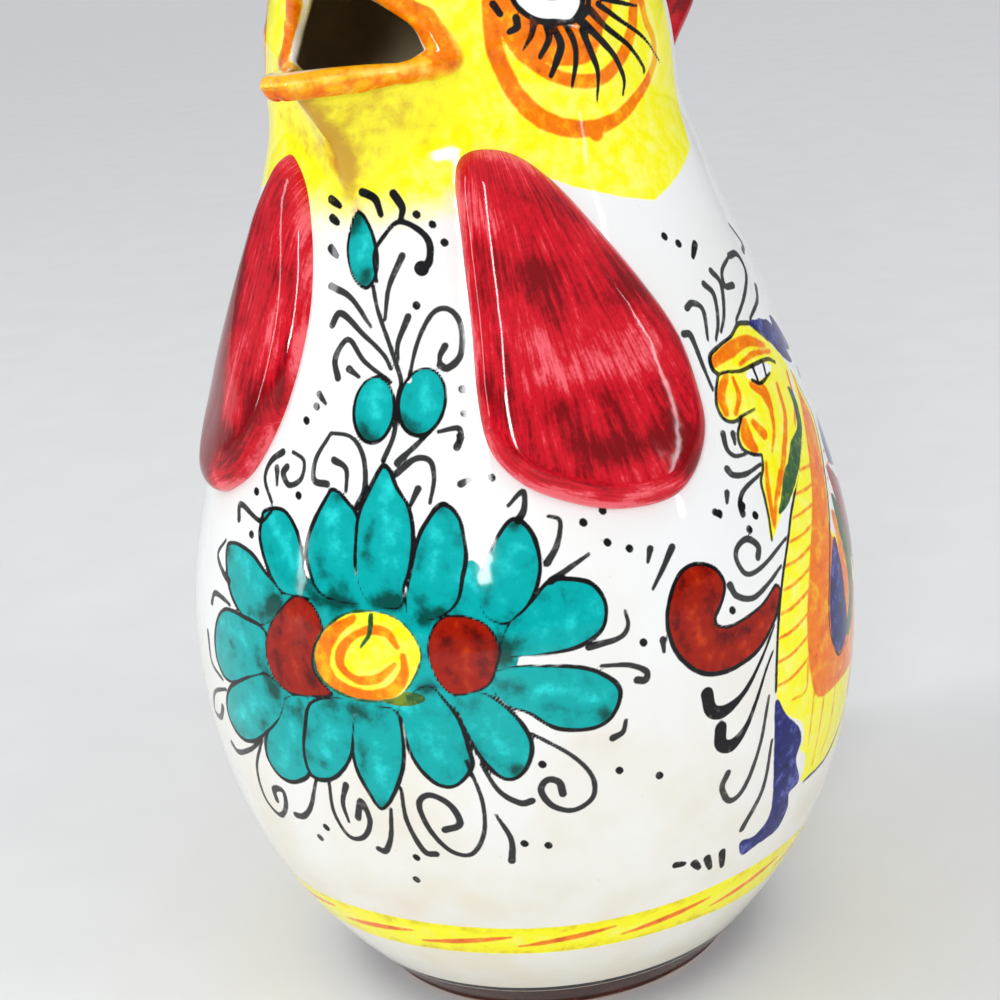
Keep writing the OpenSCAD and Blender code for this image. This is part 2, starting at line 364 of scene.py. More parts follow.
# Soft solids: distances to their surfaces, joined smoothly, and a mesh drawn over the zero level
SLOPE_STEP = 0.5
GRADIENT_STEP = 0.05
STEEP_LEAST = 1e-6
SETTLE_SLOPE = 1e-3
SETTLE_STEPS = 4


def smooth_min(a, b, blend):
    share = np.clip(0.5 + 0.5 * (b - a) / blend, 0, 1)
    return mix(b, a, share) - blend * share * (1 - share)


def smooth_max(a, b, blend):
    return -smooth_min(-a, -b, blend)


def to_rod(p, a, b, ra, rb):
    """Distance to a round rod from a to b that tapers from one radius to the other."""
    a = np.asarray(a, float)
    along = np.asarray(b, float) - a
    share = np.clip((p - a) @ along / (along @ along), 0, 1)
    return np.linalg.norm(p - a - share[..., None] * along, axis=-1) - mix(ra, rb, share)


def to_skin(p):
    """Distance to the turned skin, less than zero inside."""
    r = np.hypot(p[..., 0], p[..., 1])
    z = p[..., 2]
    slope = (skin_radius(z + SLOPE_STEP) - skin_radius(z - SLOPE_STEP)) / (2 * SLOPE_STEP)
    side = (r - skin_radius(z)) / np.sqrt(1 + np.minimum(slope, 1)**2)
    high = CROWN_Z - HEAD_Z
    up = z - HEAD_Z
    level = np.hypot(r / HEAD_R, up / high)
    steep = np.hypot(r / HEAD_R**2, up / high**2)
    return np.where(z > HEAD_Z, level * (level - 1) / np.maximum(steep, STEEP_LEAST), side)


CELL = np.array([(i, j, k) for i in (0, 1) for j in (0, 1) for k in (0, 1)])
CELL_EDGES = [(a, b) for a in CELL for b in CELL if (b - a).sum() == 1 and (b - a).min() == 0]


def gradient(field, p):
    steps = GRADIENT_STEP * np.eye(3)
    return np.stack([field(p + s) - field(p - s) for s in steps], -1) / (2 * GRADIENT_STEP)


def cell_points(value):
    """The middle of the crossings in each cell that has some, and the number of that point by cell."""
    size = np.array(value.shape) - 1
    inside = value < 0
    count = sum(inside[i:i + size[0], j:j + size[1], k:k + size[2]].astype(int) for i, j, k in CELL)
    cells = np.argwhere((count > 0) & (count < len(CELL)))
    index = np.full(size, -1)
    index[tuple(cells.T)] = np.arange(len(cells))
    total = np.zeros(cells.shape)
    hits = np.zeros((len(cells), 1))
    for a, b in CELL_EDGES:
        va, vb = value[tuple((cells + a).T)], value[tuple((cells + b).T)]
        cross = (va < 0) != (vb < 0)
        share = (va / np.where(cross, va - vb, 1))[:, None]
        total[cross] += (cells + a + share * (b - a))[cross]
        hits[cross] += 1
    return total / hits, index


def cell_faces(inside, index):
    """Quads between the cells round every edge of the grid that the surface crosses."""
    size = index.shape
    faces = []
    for axis in range(3):
        u, w = np.eye(3, dtype=int)[[(axis + 1) % 3, (axis + 2) % 3]]
        here = [slice(1, n) for n in inside.shape]
        here[axis] = slice(0, size[axis])
        there = list(here)
        there[axis] = slice(1, size[axis] + 1)
        first, second = inside[tuple(here)], inside[tuple(there)]
        spot = np.argwhere(first != second) + [h.start for h in here]
        ahead = first[first != second]
        keep = np.all(spot < size, axis=1)
        spot, ahead = spot[keep], ahead[keep]
        quad = np.stack([index[tuple((spot - a).T)] for a in (u + w, w, 0 * u, u)], -1)
        faces.append(np.where(ahead[:, None], quad, quad[:, ::-1]))
    return np.concatenate(faces)


def net_over(field, low, high, step):
    """Points and quads of the surface where a field is zero: one point in each cell that it crosses."""
    axes = [np.arange(a, b + step, step) for a, b in zip(low, high)]
    value = np.stack([field(slab) for slab in np.stack(np.meshgrid(*axes, indexing="ij"), -1)])
    places, index = cell_points(value)
    points = np.asarray(low) + step * places
    for _ in range(SETTLE_STEPS):
        slope = gradient(field, points)
        steep = np.maximum((slope**2).sum(-1), SETTLE_SLOPE)
        points = points - slope * (field(points) / steep)[:, None]
    return points, cell_faces(value < 0, index)


# Head with both beaks: one skin, blown out into two wedges, hollow, and cut open between them
MOUTH_RISE = 9.0
MOUTH_Z = HEAD_Z + MOUTH_RISE
MOUTH_W = 39.0
MOUTH_PROUD = 4.0
BEAK_WALL = 1.9
LOWER_REACH = 26.0
UPPER_REACH = 17.0
UPPER_RISE = 22.0
KEEL_DROP = 22.0
RIDGE_DROP = 7.0
LIP_R = 2.5
THIN_LIP_R = 1.6
TIP_LIP_R = 3.0
UPPER_LIP_R = 1.9
CORNER_R = 3.4
LIP_LIFT = 3.3
CORNER_AHEAD = 3.0
CORNER_GAP = 5.4
GAPE_AHEAD = 0.4
GAPE_ABOVE = 0.9
FAR_SHARE = 1.16
LIP_DEPTH = 1.9
UPPER_LIP_OFF = (0, 2.4, 2.1)
KNOB_OFF = (0.8, 1.4, 0.4)
THIN_SHARE, THICK_SHARE, TIP_SHARE = 0.2, 0.5, 0.93
HEAD_STEP = 0.56
SEAM_BLEND = 9.0
LIP_BLEND = 1.2
SHELL_BLEND = 1.0
EDGE_ROUND = 2.2
ROOT_Y = -18.0
HEAD_MARGIN = 4.0

MOUTH_R = float(skin_radius(MOUTH_Z))
CORNER = np.array([MOUTH_W / 2 - LIP_R, 0, MOUTH_Z])
CORNER[1] = LIP_R - MOUTH_PROUD - math.sqrt(MOUTH_R**2 - CORNER[0]**2)
LOWER_TIP = np.array([0, LIP_R - MOUTH_R - LOWER_REACH, MOUTH_Z])
UPPER_TIP = np.array([0, LIP_R - MOUTH_R - UPPER_REACH, MOUTH_Z + UPPER_RISE])
KEEL = np.array([0, -float(skin_radius(MOUTH_Z - KEEL_DROP)), MOUTH_Z - KEEL_DROP])
RIDGE = np.array([0, -float(skin_radius(CROWN_Z - RIDGE_DROP)), CROWN_Z - RIDGE_DROP])


def folded(p):
    """Places brought to the chicken's left side; its right side is a little narrower."""
    side = np.where(p[..., 0] < 0, -FAR_SHARE * p[..., 0], p[..., 0])
    return np.stack([side, p[..., 1], p[..., 2]], -1)


def to_side(p, a, b, c):
    """Distance to a slanting side through three points, alike left and right, rounded in the middle."""
    normal = np.cross(b - a, c - a)
    normal /= np.linalg.norm(normal) * math.copysign(1, normal[0])
    side = np.sqrt(folded(p)[..., 0]**2 + EDGE_ROUND**2)
    return (np.stack([side, p[..., 1], p[..., 2]], -1) - a) @ normal


def lower_lip(share, radius):
    """Middle of the lower lip, a share of the way from the corner of the mouth to the tip."""
    return mix(CORNER, LOWER_TIP, share) + [0, 0, LIP_LIFT * share - radius]


def to_lips(p):
    """Distance to the lips: a knob at each corner of the mouth, and rolls from there to the two tips."""
    q = folded(p)
    thin, thick = lower_lip(THIN_SHARE, THIN_LIP_R), lower_lip(THICK_SHARE, LIP_R)
    top = mix(CORNER, LOWER_TIP, CORNER_AHEAD / LOWER_REACH) + [0, 0, CORNER_GAP] + UPPER_LIP_OFF
    lips = to_rod(q, thin, thick, THIN_LIP_R, LIP_R)
    lips = np.minimum(lips, to_rod(q, thick, lower_lip(TIP_SHARE, TIP_LIP_R), LIP_R, TIP_LIP_R))
    upper = to_rod(q, top, UPPER_TIP + UPPER_LIP_OFF, UPPER_LIP_R, UPPER_LIP_R)
    knob = np.minimum(to_rod(q, CORNER + KNOB_OFF, top, CORNER_R, UPPER_LIP_R),
                      to_rod(q, CORNER + KNOB_OFF, thin, CORNER_R, THIN_LIP_R))
    return smooth_min(smooth_min(lips, upper, LIP_BLEND), knob, LIP_BLEND)


def to_beak(p, tip, back, above):
    """Distance to one half of the beak: two sides from the mouth's corner to its tip, level at the mouth."""
    behind_root = p[..., 1] - ROOT_Y
    return smooth_max(to_side(p, CORNER, tip, back), np.maximum(above, behind_root), EDGE_ROUND)


def to_head_outside(p):
    lower = to_beak(p, LOWER_TIP, KEEL, p[..., 2] - MOUTH_Z)
    upper = to_beak(p, UPPER_TIP, RIDGE, MOUTH_Z - p[..., 2])
    return smooth_min(to_skin(p), smooth_min(lower, upper, EDGE_ROUND), SEAM_BLEND)


def to_gape(p):
    """Distance to the open space between the beaks: blunt at the corners of the mouth, wide at the tips."""
    ahead = CORNER[1] - GAPE_AHEAD - p[..., 1]
    steep = (UPPER_RISE - CORNER_GAP) / (CORNER[1] - CORNER_AHEAD - UPPER_TIP[1])
    floor = MOUTH_Z - p[..., 2]
    roof = (p[..., 2] - MOUTH_Z - CORNER_GAP - GAPE_ABOVE - ahead * steep) / math.hypot(1, steep)
    return np.maximum(np.maximum(floor, roof), -ahead)


def to_head(p):
    outside = to_head_outside(p)
    shell = smooth_max(outside, -(outside + BEAK_WALL), SHELL_BLEND)
    lips = smooth_max(to_lips(p), -outside - LIP_DEPTH, LIP_BLEND)
    return smooth_min(smooth_max(shell, -to_gape(p), LIP_BLEND), lips, LIP_BLEND)


def level_off(piece, z):
    """Cuts a piece level at a height, drops what is below and closes the cut."""
    work = bmesh.new()
    work.from_mesh(piece.data)
    everything = work.verts[:] + work.edges[:] + work.faces[:]
    cut = bmesh.ops.bisect_plane(work, geom=everything, plane_co=(0, 0, z * MM), plane_no=(0, 0, 1),
                                 clear_inner=True)["geom_cut"]
    edges = [e for e in cut if isinstance(e, bmesh.types.BMEdge)]
    bmesh.ops.triangle_fill(work, edges=edges, normal=(0, 0, -1))
    work.to_mesh(piece.data)
    work.free()
    piece.data.shade_smooth()
    piece.data.set_sharp_from_angle(angle=SHARP_ANGLE)


def make_head():
    side = NECK_R + HEAD_MARGIN
    low = np.array([-side, LOWER_TIP[1] - 2 * HEAD_MARGIN, NECK_Z - HEAD_MARGIN])
    high = np.array([side, side, CROWN_Z + HEAD_MARGIN])
    points, faces = net_over(to_head, low, high, HEAD_STEP)
    head = make_piece("head_painted", points, faces, "head", "lower_beak", "upper_beak")
    level_off(head, NECK_Z)
    set_layer(head, "inside", np.clip(-to_head_outside(points_of(head)) / BEAK_WALL, 0, 1))
    return head


# Wattles: drops of clay pressed on to the skin, flat-topped with round shoulders
# Outlines in degrees from the middle of the pair and heights; the right one leans a little more
LEFT_OUTLINE = [(17.0, 174), (21, 177.8), (30.5, 177), (39.3, 172), (47.6, 163), (55.2, 152), (59.8, 142),
                (61, 131.5), (60, 124), (55.5, 117.3), (49.5, 113.8), (40, 114), (31.2, 117), (24.5, 121),
                (20, 127), (18.5, 136), (18.3, 149), (17.5, 162)]
RIGHT_OUTLINE = [(23.6, 170), (29, 175.5), (36, 178), (42, 173), (48, 164), (54.5, 152), (59, 141.5),
                 (60.5, 131.5), (59.5, 124.6), (55, 118.3), (49.5, 114.8), (42, 114.4), (36, 116.6),
                 (29.6, 121), (24, 129), (19.8, 139), (18.2, 150), (19.9, 161)]
WATTLE_MIDDLE = (38.0, 139.0)
WATTLE_TURN_DEGREES = 8.5
LEFT_OUTER_SHARES, RIGHT_OUTER_SHARES = (0.9, 0.8), (1.0, 0.0)
WATTLE_RELIEF = 4.5
WATTLE_SHOULDER = 6.5
WATTLE_BURY = 0.8
WATTLE_RINGS = 60
WATTLE_RAYS = 240
WATTLE_DISH = 0.75
WATTLE_DISH_REACH = 15.0
WATTLE_RIM = 5.5
WATTLE_RIM_Z = 131.0
WATTLE_APEX = (24.0, 196.0)
STREAK_SHARE = 0.1


def loop_depth(places, loop):
    """How far places are inside a closed outline, less than zero outside."""
    x, y = places[:, 0], places[:, 1]
    nearest = np.full(len(places), LARGE)
    inside = np.zeros(len(places), bool)
    for a, b in zip(loop, np.roll(loop, -1, axis=0)):
        along = b - a
        share = np.clip(((x - a[0]) * along[0] + (y - a[1]) * along[1]) / max(along @ along, TINY), 0, 1)
        nearest = np.minimum(nearest, np.hypot(x - a[0] - share * along[0], y - a[1] - share * along[1]))
        crossing = (a[1] > y) != (b[1] > y)
        rise = along[1] if along[1] else TINY
        inside ^= crossing & (x < a[0] + (y - a[1]) / rise * along[0])
    return np.where(inside, nearest, -nearest)


def flat_wattle(place):
    """Millimetres across and up from a wattle's middle, for places in degrees and heights."""
    place = np.asarray(place, float)
    across = np.radians(place[..., 0] - WATTLE_MIDDLE[0]) * skin_radius(place[..., 1])
    return np.stack([across, place[..., 1] - WATTLE_MIDDLE[1]], -1)


def set_brush(piece, across, along, depth):
    """The way of the brush over a crimson piece, and how far places are from its edge."""
    set_layer(piece, "brush_across", across)
    set_layer(piece, "brush_along", along * STREAK_SHARE)
    set_layer(piece, "depth", depth)


def brush_wattle(wattle, places, depth):
    """Strokes fanned out from above the top, and along the rim below."""
    apex = flat_wattle(WATTLE_APEX)
    away = places - apex
    fan = np.arctan2(away[:, 0], -away[:, 1]) * -apex[1]
    rim = (depth < WATTLE_RIM) & (places[:, 1] < WATTLE_RIM_Z - WATTLE_MIDDLE[1])
    turn = np.arctan2(places[:, 0], -places[:, 1]) * WATTLE_APEX[0]
    along = np.where(rim, turn, np.linalg.norm(away, axis=1))
    set_brush(wattle, np.where(rim, depth, fan), along, depth)


def wattle_lift(places, depth, loop, outer_shares):
    """Height over the skin: round shoulders, a shallow dish in the middle, and flatter on the outer side."""
    inward = np.clip(depth / WATTLE_SHOULDER, 0, 1)
    dish = np.clip((depth - WATTLE_SHOULDER / 2) / WATTLE_DISH_REACH, 0, 1)
    lift = (WATTLE_RELIEF + WATTLE_BURY) * np.sqrt(1 - (1 - inward)**2) - WATTLE_DISH * smooth_step(dish)
    outward = np.clip(places[:, 0] / loop[:, 0].max(), 0, 1)
    up = places[:, 1]
    outer_share = np.interp(up, (up.min(), up.max()), outer_shares)
    return lift * mix(1, outer_share, smooth_step(outward)) - WATTLE_BURY


def make_wattle(name, node, outline, side, outer_shares):
    """A wattle: rings from its middle to its outline, lifted off the skin."""
    loop = smooth_line(flat_wattle(outline), WATTLE_RAYS, closed=True)
    ring = np.sin(np.linspace(0, math.pi / 2, WATTLE_RINGS + 1)[1:])[:, None, None]
    places = np.concatenate([np.zeros((1, 2)), (ring * loop).reshape(-1, 2)])
    depth = loop_depth(places, loop)
    z = places[:, 1] + WATTLE_MIDDLE[1]
    degrees = np.degrees(places[:, 0] / skin_radius(z)) + WATTLE_MIDDLE[0]
    lift = wattle_lift(places, depth, loop, outer_shares)
    points = on_skin(side * degrees + WATTLE_TURN_DEGREES, z, lift)
    last = 1 + (WATTLE_RINGS - 1) * WATTLE_RAYS
    faces = [(0, 1 + (k + 1) % WATTLE_RAYS, 1 + k) for k in range(WATTLE_RAYS)]
    faces += [tuple(1 + v for v in face) for face in grid_faces(WATTLE_RINGS, WATTLE_RAYS)]
    faces.append(tuple(range(last, last + WATTLE_RAYS)))
    wattle = make_piece(name, points, [f[::-side] for f in faces], node)
    brush_wattle(wattle, places, depth)
    return wattle


# Comb: plump lobes that fan out along the middle of the crown
COMB_DEGREES = (-24, -7, 10, 27, 43)
COMB_HEIGHT_SHARES = (0.72, 0.95, 1.0, 0.86, 0.6)
COMB_H = 21.0
COMB_T = 10.0
COMB_LOBE_R = 9.5
LOBE_TIP_SHARE = 0.7
COMB_BLEND = 2.5
COMB_ROOT = 2.5
COMB_STEP = 0.9
COMB_MARGIN = 3.0


def on_crown(degrees, rise):
    """A point on the crown's middle line, or above it, at an angle from the top towards the back."""
    a = math.radians(degrees)
    return np.array([0, (HEAD_R + rise) * math.sin(a), HEAD_Z + (CROWN_Z - HEAD_Z + rise) * math.cos(a)])


def to_comb(p):
    flat = COMB_T / 2 / COMB_LOBE_R
    squeezed = p / [flat, 1, 1]
    lobes = None
    for degrees, share in zip(COMB_DEGREES, COMB_HEIGHT_SHARES):
        tip = on_crown(degrees, COMB_H * share - COMB_LOBE_R * LOBE_TIP_SHARE)
        lobe = to_rod(squeezed, on_crown(degrees, 0), tip, COMB_LOBE_R, COMB_LOBE_R * LOBE_TIP_SHARE)
        lobes = lobe if lobes is None else smooth_min(lobes, lobe, COMB_BLEND)
    return np.maximum(lobes * flat, -(to_skin(p) + COMB_ROOT))


def make_comb():
    low, high = node_box("comb")
    points, faces = net_over(to_comb, low - COMB_MARGIN, high + COMB_MARGIN, COMB_STEP)
    comb = make_piece("comb_lobes", points, faces, "comb")
    p = points_of(comb)
    set_brush(comb, p[:, 1], p[:, 2], to_skin(p))
    return comb


# Handle: an oval bar along a loop behind, flared where it joins the head and the shoulder
HANDLE_W = 16.0
HANDLE_T = 9.5
HANDLE_REACH = 57.0
HANDLE_TOP_DROP, HANDLE_LOW_DROP = 34.0, 31.0
HANDLE_TOP_Z = CROWN_Z - HANDLE_TOP_DROP
HANDLE_LOW_Z = NECK_Z - HANDLE_LOW_DROP
HANDLE_OUT_SHARES = (0.2, 0.45, 0.73, 0.94, 0.98, 0.83, 0.6, 0.45, 0.31)
HANDLE_UP_SHARES = (1.16, 1.29, 1.29, 1.16, 0.97, 0.8, 0.66, 0.49, 0.26)
HANDLE_ROOT_SHARE = 0.86
HANDLE_STATIONS = 170
HANDLE_ROUND = 64
FLARE_SHARE = 0.55
FLARE_LENGTH_SHARE = 0.16


def handle_line():
    route = [(float(skin_radius(HANDLE_TOP_Z)) * HANDLE_ROOT_SHARE, HANDLE_TOP_Z)]
    for out, up in zip(HANDLE_OUT_SHARES, HANDLE_UP_SHARES):
        route.append((HEAD_R + out * HANDLE_REACH, mix(HANDLE_LOW_Z, HANDLE_TOP_Z, up)))
    route.append((float(skin_radius(HANDLE_LOW_Z)) * HANDLE_ROOT_SHARE, HANDLE_LOW_Z))
    return smooth_line(route, HANDLE_STATIONS)


def make_handle():
    line = handle_line()
    along = unit(np.gradient(line, axis=0))
    out = np.stack([along[:, 1], -along[:, 0]], -1)
    share = np.linspace(0, 1, HANDLE_STATIONS)
    near_end = np.clip(1 - np.minimum(share, 1 - share) / FLARE_LENGTH_SHARE, 0, 1)
    grow = 1 + FLARE_SHARE * near_end**2
    a = np.linspace(0, 2 * math.pi, HANDLE_ROUND, endpoint=False)
    wide = HANDLE_W / 2 * grow[:, None] * np.sin(a)
    thick = HANDLE_T / 2 * grow[:, None] * np.cos(a)
    points = np.stack([wide, line[:, :1] + thick * out[:, :1], line[:, 1:] + thick * out[:, 1:]], -1)
    faces = [f[::-1] for f in closed_grid(HANDLE_STATIONS, HANDLE_ROUND)]
    handle = make_piece("handle_loop", points.reshape(-1, 3), faces, "handle")
    run, depth = share * run_along(line)[-1], (1 - near_end) * HANDLE_W
    set_brush(handle, wide.ravel(), np.repeat(run, HANDLE_ROUND), np.repeat(depth, HANDLE_ROUND))
    return handle


# Painting: every colour is a layer of depths inside its strokes, in millimetres, on the vertices of a piece
COLOURS = ("yellow", "orange", "teal", "brown", "navy", "green", "white", "ink")
TINTS = ("shade", "thin", "stain_and_shade")
OUT_OF_REACH = -4.0
TINT_REACHES = 2.5
LINE_STEPS = 9
OVERLAP = 0.15
INK_REACH = -0.5
SCROLL_LOAD, SIDE_LOAD, MASK_LOAD = 0.95, 0.92, 0.9
LOOP_SKIP = 3
ELLIPSE_POINTS = 12


def line_gaps(points, line):
    """Distances from points to the runs of a line, and how far along each run they lie."""
    along = np.diff(line, axis=0)
    away = points[:, None] - line[:-1]
    share = np.clip((away * along).sum(-1) / np.maximum((along**2).sum(-1), TINY), 0, 1)
    return np.linalg.norm(away - share[..., None] * along, axis=-1), share


class Canvas:
    """The outside of a piece, and the paint on it; what stands a little off the skin is painted as on it."""

    def __init__(self, piece, spots):
        self.piece = piece
        self.spots = spots
        self.solid = points_of(piece)[spots]
        self.points = behind(self.solid)
        self.layers = {name: np.full(len(spots), OUT_OF_REACH) for name in COLOURS}
        self.layers.update({name: np.zeros(len(spots)) for name in (*TINTS, "load")})

    def near(self, line, reach):
        low, high = line.min(0) - reach, line.max(0) + reach
        return np.flatnonzero(np.all((self.points > low) & (self.points < high), axis=1))

    def put(self, colour, spots, depth):
        self.layers[colour][spots] = np.maximum(self.layers[colour][spots], depth)

    def wash(self, colour, depth):
        """A colour given by its depth all over the canvas."""
        self.put(colour, slice(None), np.maximum(depth, OUT_OF_REACH))

    def stroke(self, colour, line, radii, load=1.0):
        """A brush stroke along a line on the skin."""
        spots = self.near(line, radii.max() - OUT_OF_REACH)
        gap, share = line_gaps(self.points[spots], line)
        depth = (mix(radii[:-1], radii[1:], share) - gap).max(1)
        self.put(colour, spots, depth)
        self.put("load", spots, np.where(depth > INK_REACH, load, 0))

    def fill(self, colour, line):
        """A patch of colour inside a closed line on the skin; it covers the layers that would hide it."""
        spots = self.near(line, -OUT_OF_REACH)
        middle = line.mean(0)
        normal = middle * [1, 1, 0] / np.linalg.norm(middle[:2])
        across = np.cross([0, 0, 1], normal)
        flat = np.stack([across, np.cross(normal, across)], -1)
        depth = loop_depth((self.points[spots] - middle) @ flat, (line - middle) @ flat)
        self.put(colour, spots, depth)
        for other in COLOURS[COLOURS.index(colour) + 1:]:
            self.layers[other][spots] = np.minimum(self.layers[other][spots], OVERLAP - depth)

    def tint(self, line, reach, amount, layer):
        """A soft stroke: lighter or darker than the colour that is there, or another of the tints."""
        spots = self.near(line, TINT_REACHES * reach)
        gap = line_gaps(self.points[spots], line)[0].min(1)
        self.layers[layer][spots] += amount * np.exp(-(gap / reach)**2)

    def store(self, names):
        for name in names:
            full = np.full(len(self.piece.data.vertices), OUT_OF_REACH if name in COLOURS else 0.0)
            full[self.spots] = self.layers[name]
            set_layer(self.piece, name, full)


def round_side(points, about):
    """The same places on the other side of a plane through the axis at an angle from the beak."""
    a = np.radians(2 * about)
    x, y = points[..., 0], points[..., 1]
    return np.stack([-x * np.cos(a) - y * np.sin(a), y * np.cos(a) - x * np.sin(a), points[..., 2]], -1)


def sight_scale(points):
    """Millimetres to a pixel at places on the skin."""
    return (points - CAMERA) @ SIGHT / FOCAL_PIXELS


def speck(pixel):
    """A dot as a line of one pixel."""
    return [pixel, np.add(pixel, 1)]


class Painter:
    """Paints in pixels of the photograph: where they fall, and on the other side of some planes."""

    def __init__(self, canvases, here=True, planes=()):
        self.canvases = canvases
        self.here = here
        self.planes = planes

    def place(self, pixels):
        """Places on the skin, and millimetres to a pixel there."""
        line = photo_to_skin(pixels)
        return line, sight_scale(line)

    def copies(self, line):
        """Every canvas, with the line on each side that is painted."""
        lines = ([line] if self.here else []) + [round_side(line, about) for about in self.planes]
        return [(canvas, one) for one in lines for canvas in self.canvases]

    def stroke(self, colour, pixels, widths, load=1.0):
        count = (len(pixels) - 1) * LINE_STEPS
        line, scale = self.place(smooth_line(pixels, count))
        wide = np.interp(np.linspace(0, 1, count), np.linspace(0, 1, len(widths)), widths)
        for canvas, one in self.copies(line):
            canvas.stroke(colour, one, wide / 2 * scale, load)

    def strokes(self, colour, lines, widths, load=1.0):
        for line in lines:
            self.stroke(colour, line, widths, load)

    def dots(self, colour, pixels, width):
        self.strokes(colour, [speck(pixel) for pixel in pixels], (width, width))

    def loop(self, colour, pixels, widths):
        """A stroke all along a closed line."""
        ring = smooth_line(pixels, len(pixels) * LINE_STEPS, closed=True)
        self.stroke(colour, np.concatenate([ring, ring[:1]])[::LOOP_SKIP], widths)

    def fill(self, colour, pixels):
        line, _ = self.place(smooth_line(pixels, len(pixels) * LINE_STEPS, closed=True))
        for canvas, one in self.copies(line):
            canvas.fill(colour, one)

    def outlined(self, colour, pixels, widths):
        """A patch of colour with an ink line round it."""
        self.fill(colour, pixels)
        self.loop("ink", pixels, widths)

    def tint(self, pixels, reach, amount, layer="shade"):
        ends = pixels if len(pixels) > 1 else speck(pixels[0])
        line, scale = self.place(smooth_line(ends, len(ends) * LINE_STEPS))
        for canvas, one in self.copies(line):
            canvas.tint(one, reach * np.mean(scale), amount, layer)

    def tints(self, lines, reach, amount):
        for line in lines:
            self.tint(line, reach, amount)


class BackPainter(Painter):
    """Paints where the photograph doesn't see: in degrees round from the beak and millimetres up."""

    def place(self, turns):
        line = on_skin(turns[:, 0], turns[:, 1])
        return line, np.ones(len(line))


def ellipse(middle, wide, high, lean=0.0):
    """Points round an ellipse of these half widths that leans by some degrees."""
    a = np.linspace(0, 2 * math.pi, ELLIPSE_POINTS, endpoint=False)
    x, y = wide * np.cos(a), high * np.sin(a)
    c, s = math.cos(math.radians(lean)), math.sin(math.radians(lean))
    return np.stack([middle[0] + x * c - y * s, middle[1] + x * s + y * c], -1)


# Flower: outlines of its petals from the left over the top, of the two lobes and of the heart
PETALS = [[(229, 543), (250, 552), (265, 572), (281, 593), (277, 611), (265, 624), (247, 620), (233, 599),
           (227, 572)],
          [(266, 510), (283, 510), (295, 527), (302, 551), (305, 575), (319, 596), (295, 596), (280, 590),
           (268, 569), (260, 539), (262, 519)],
          [(334, 489), (349, 504), (358, 518), (356, 539), (355, 569), (364, 602), (331, 599), (316, 587),
           (307, 560), (307, 542), (314, 521), (325, 500)],
          [(442, 504), (457, 515), (463, 533), (466, 557), (463, 575), (457, 602), (439, 617), (412, 620),
           (406, 602), (412, 566), (418, 539), (427, 521)],
          [(385, 465), (397, 488), (409, 509), (413, 536), (410, 566), (403, 590), (400, 608), (370, 603),
           (358, 581), (356, 554), (358, 518), (370, 488)],
          [(514, 519), (530, 530), (539, 554), (539, 578), (529, 605), (508, 623), (487, 617), (478, 596),
           (482, 572), (490, 551), (502, 530)],
          [(550, 581), (571, 579), (592, 584), (605, 602), (604, 626), (589, 641), (568, 650), (529, 656),
           (502, 653), (508, 626), (526, 608), (538, 593)],
          [(508, 668), (550, 666), (589, 669), (616, 683), (620, 698), (610, 719), (589, 729), (556, 728),
           (529, 713), (505, 704), (490, 680)],
          [(478, 692), (502, 704), (523, 725), (532, 746), (527, 767), (514, 779), (499, 776), (481, 758),
           (469, 737), (460, 716), (454, 698)],
          [(427, 686), (445, 701), (460, 722), (469, 749), (472, 767), (457, 785), (439, 785), (421, 770),
           (409, 749), (403, 722), (400, 704)],
          [(286, 698), (307, 698), (308, 722), (305, 752), (310, 773), (295, 782), (280, 776), (268, 758),
           (266, 737), (275, 716)],
          [(310, 704), (331, 698), (352, 704), (353, 731), (350, 758), (337, 776), (322, 780), (310, 773),
           (304, 752), (305, 728)],
          [(358, 707), (382, 707), (397, 713), (403, 740), (403, 767), (394, 794), (382, 809), (370, 794),
           (356, 767), (353, 737)],
          [(265, 674), (283, 695), (280, 716), (268, 731), (254, 741), (241, 737), (230, 719), (227, 698),
           (235, 683)],
          [(226, 609), (244, 617), (265, 632), (266, 668), (247, 677), (229, 681), (218, 662), (215, 638),
           (218, 618)]]
PETAL_GROUND = [(304, 578), (370, 590), (440, 600), (456, 572), (474, 560), (490, 586), (505, 615),
                (520, 650), (500, 694), (458, 712), (380, 716), (300, 706), (260, 680), (256, 626),
                (274, 594)]
# Painted highlight: a lighter patch on the petals' ground
PAINTED_HIGHLIGHT_GROUND, PAINTED_HIGHLIGHT_REACH, PAINTED_HIGHLIGHT = [(464, 575), (482, 590)], 12, 0.2
PETAL_LINE = (0.4, 2.6, 4.6, 5.4, 4.0, 5.2, 3.0, 0.4)
LOBES = [[(295, 596), (310, 603), (319, 617), (322, 632), (314, 647), (313, 668), (322, 683), (332, 695),
          (310, 696), (289, 692), (274, 677), (266, 653), (268, 632), (277, 614)],
         [(445, 617), (466, 617), (487, 626), (499, 647), (496, 668), (487, 686), (460, 695), (445, 689),
          (433, 671), (428, 647), (434, 627)]]
HEART = [(368, 611), (394, 617), (413, 635), (421, 656), (413, 680), (397, 698), (368, 701), (340, 693),
         (320, 677), (314, 654), (322, 632), (343, 615)]
HEART_RING = [(353, 618), (331, 635), (322, 662), (337, 686), (364, 698), (391, 692), (404, 674), (403, 656)]
HEART_SWIRL = [(397, 647), (385, 632), (361, 632), (343, 647), (341, 666), (358, 680), (379, 678),
               (394, 665)]
HEART_MIDDLE = (368, 655)
ROOT_POINTS = 3
PETAL_LIGHT_SHARES, PETAL_LIGHT_REACH, PETAL_LIGHT = (0.3, 0.85), 11, 0.13
PETAL_DARK_SHARES, PETAL_DARK_REACH, PETAL_DARK = (0.0, 0.1), 12, -0.13
DARK_TIPS = [(442, 509), (515, 526), (382, 802), (448, 774), (515, 769), (322, 763), (229, 550),
             (604, 712), (336, 497)]
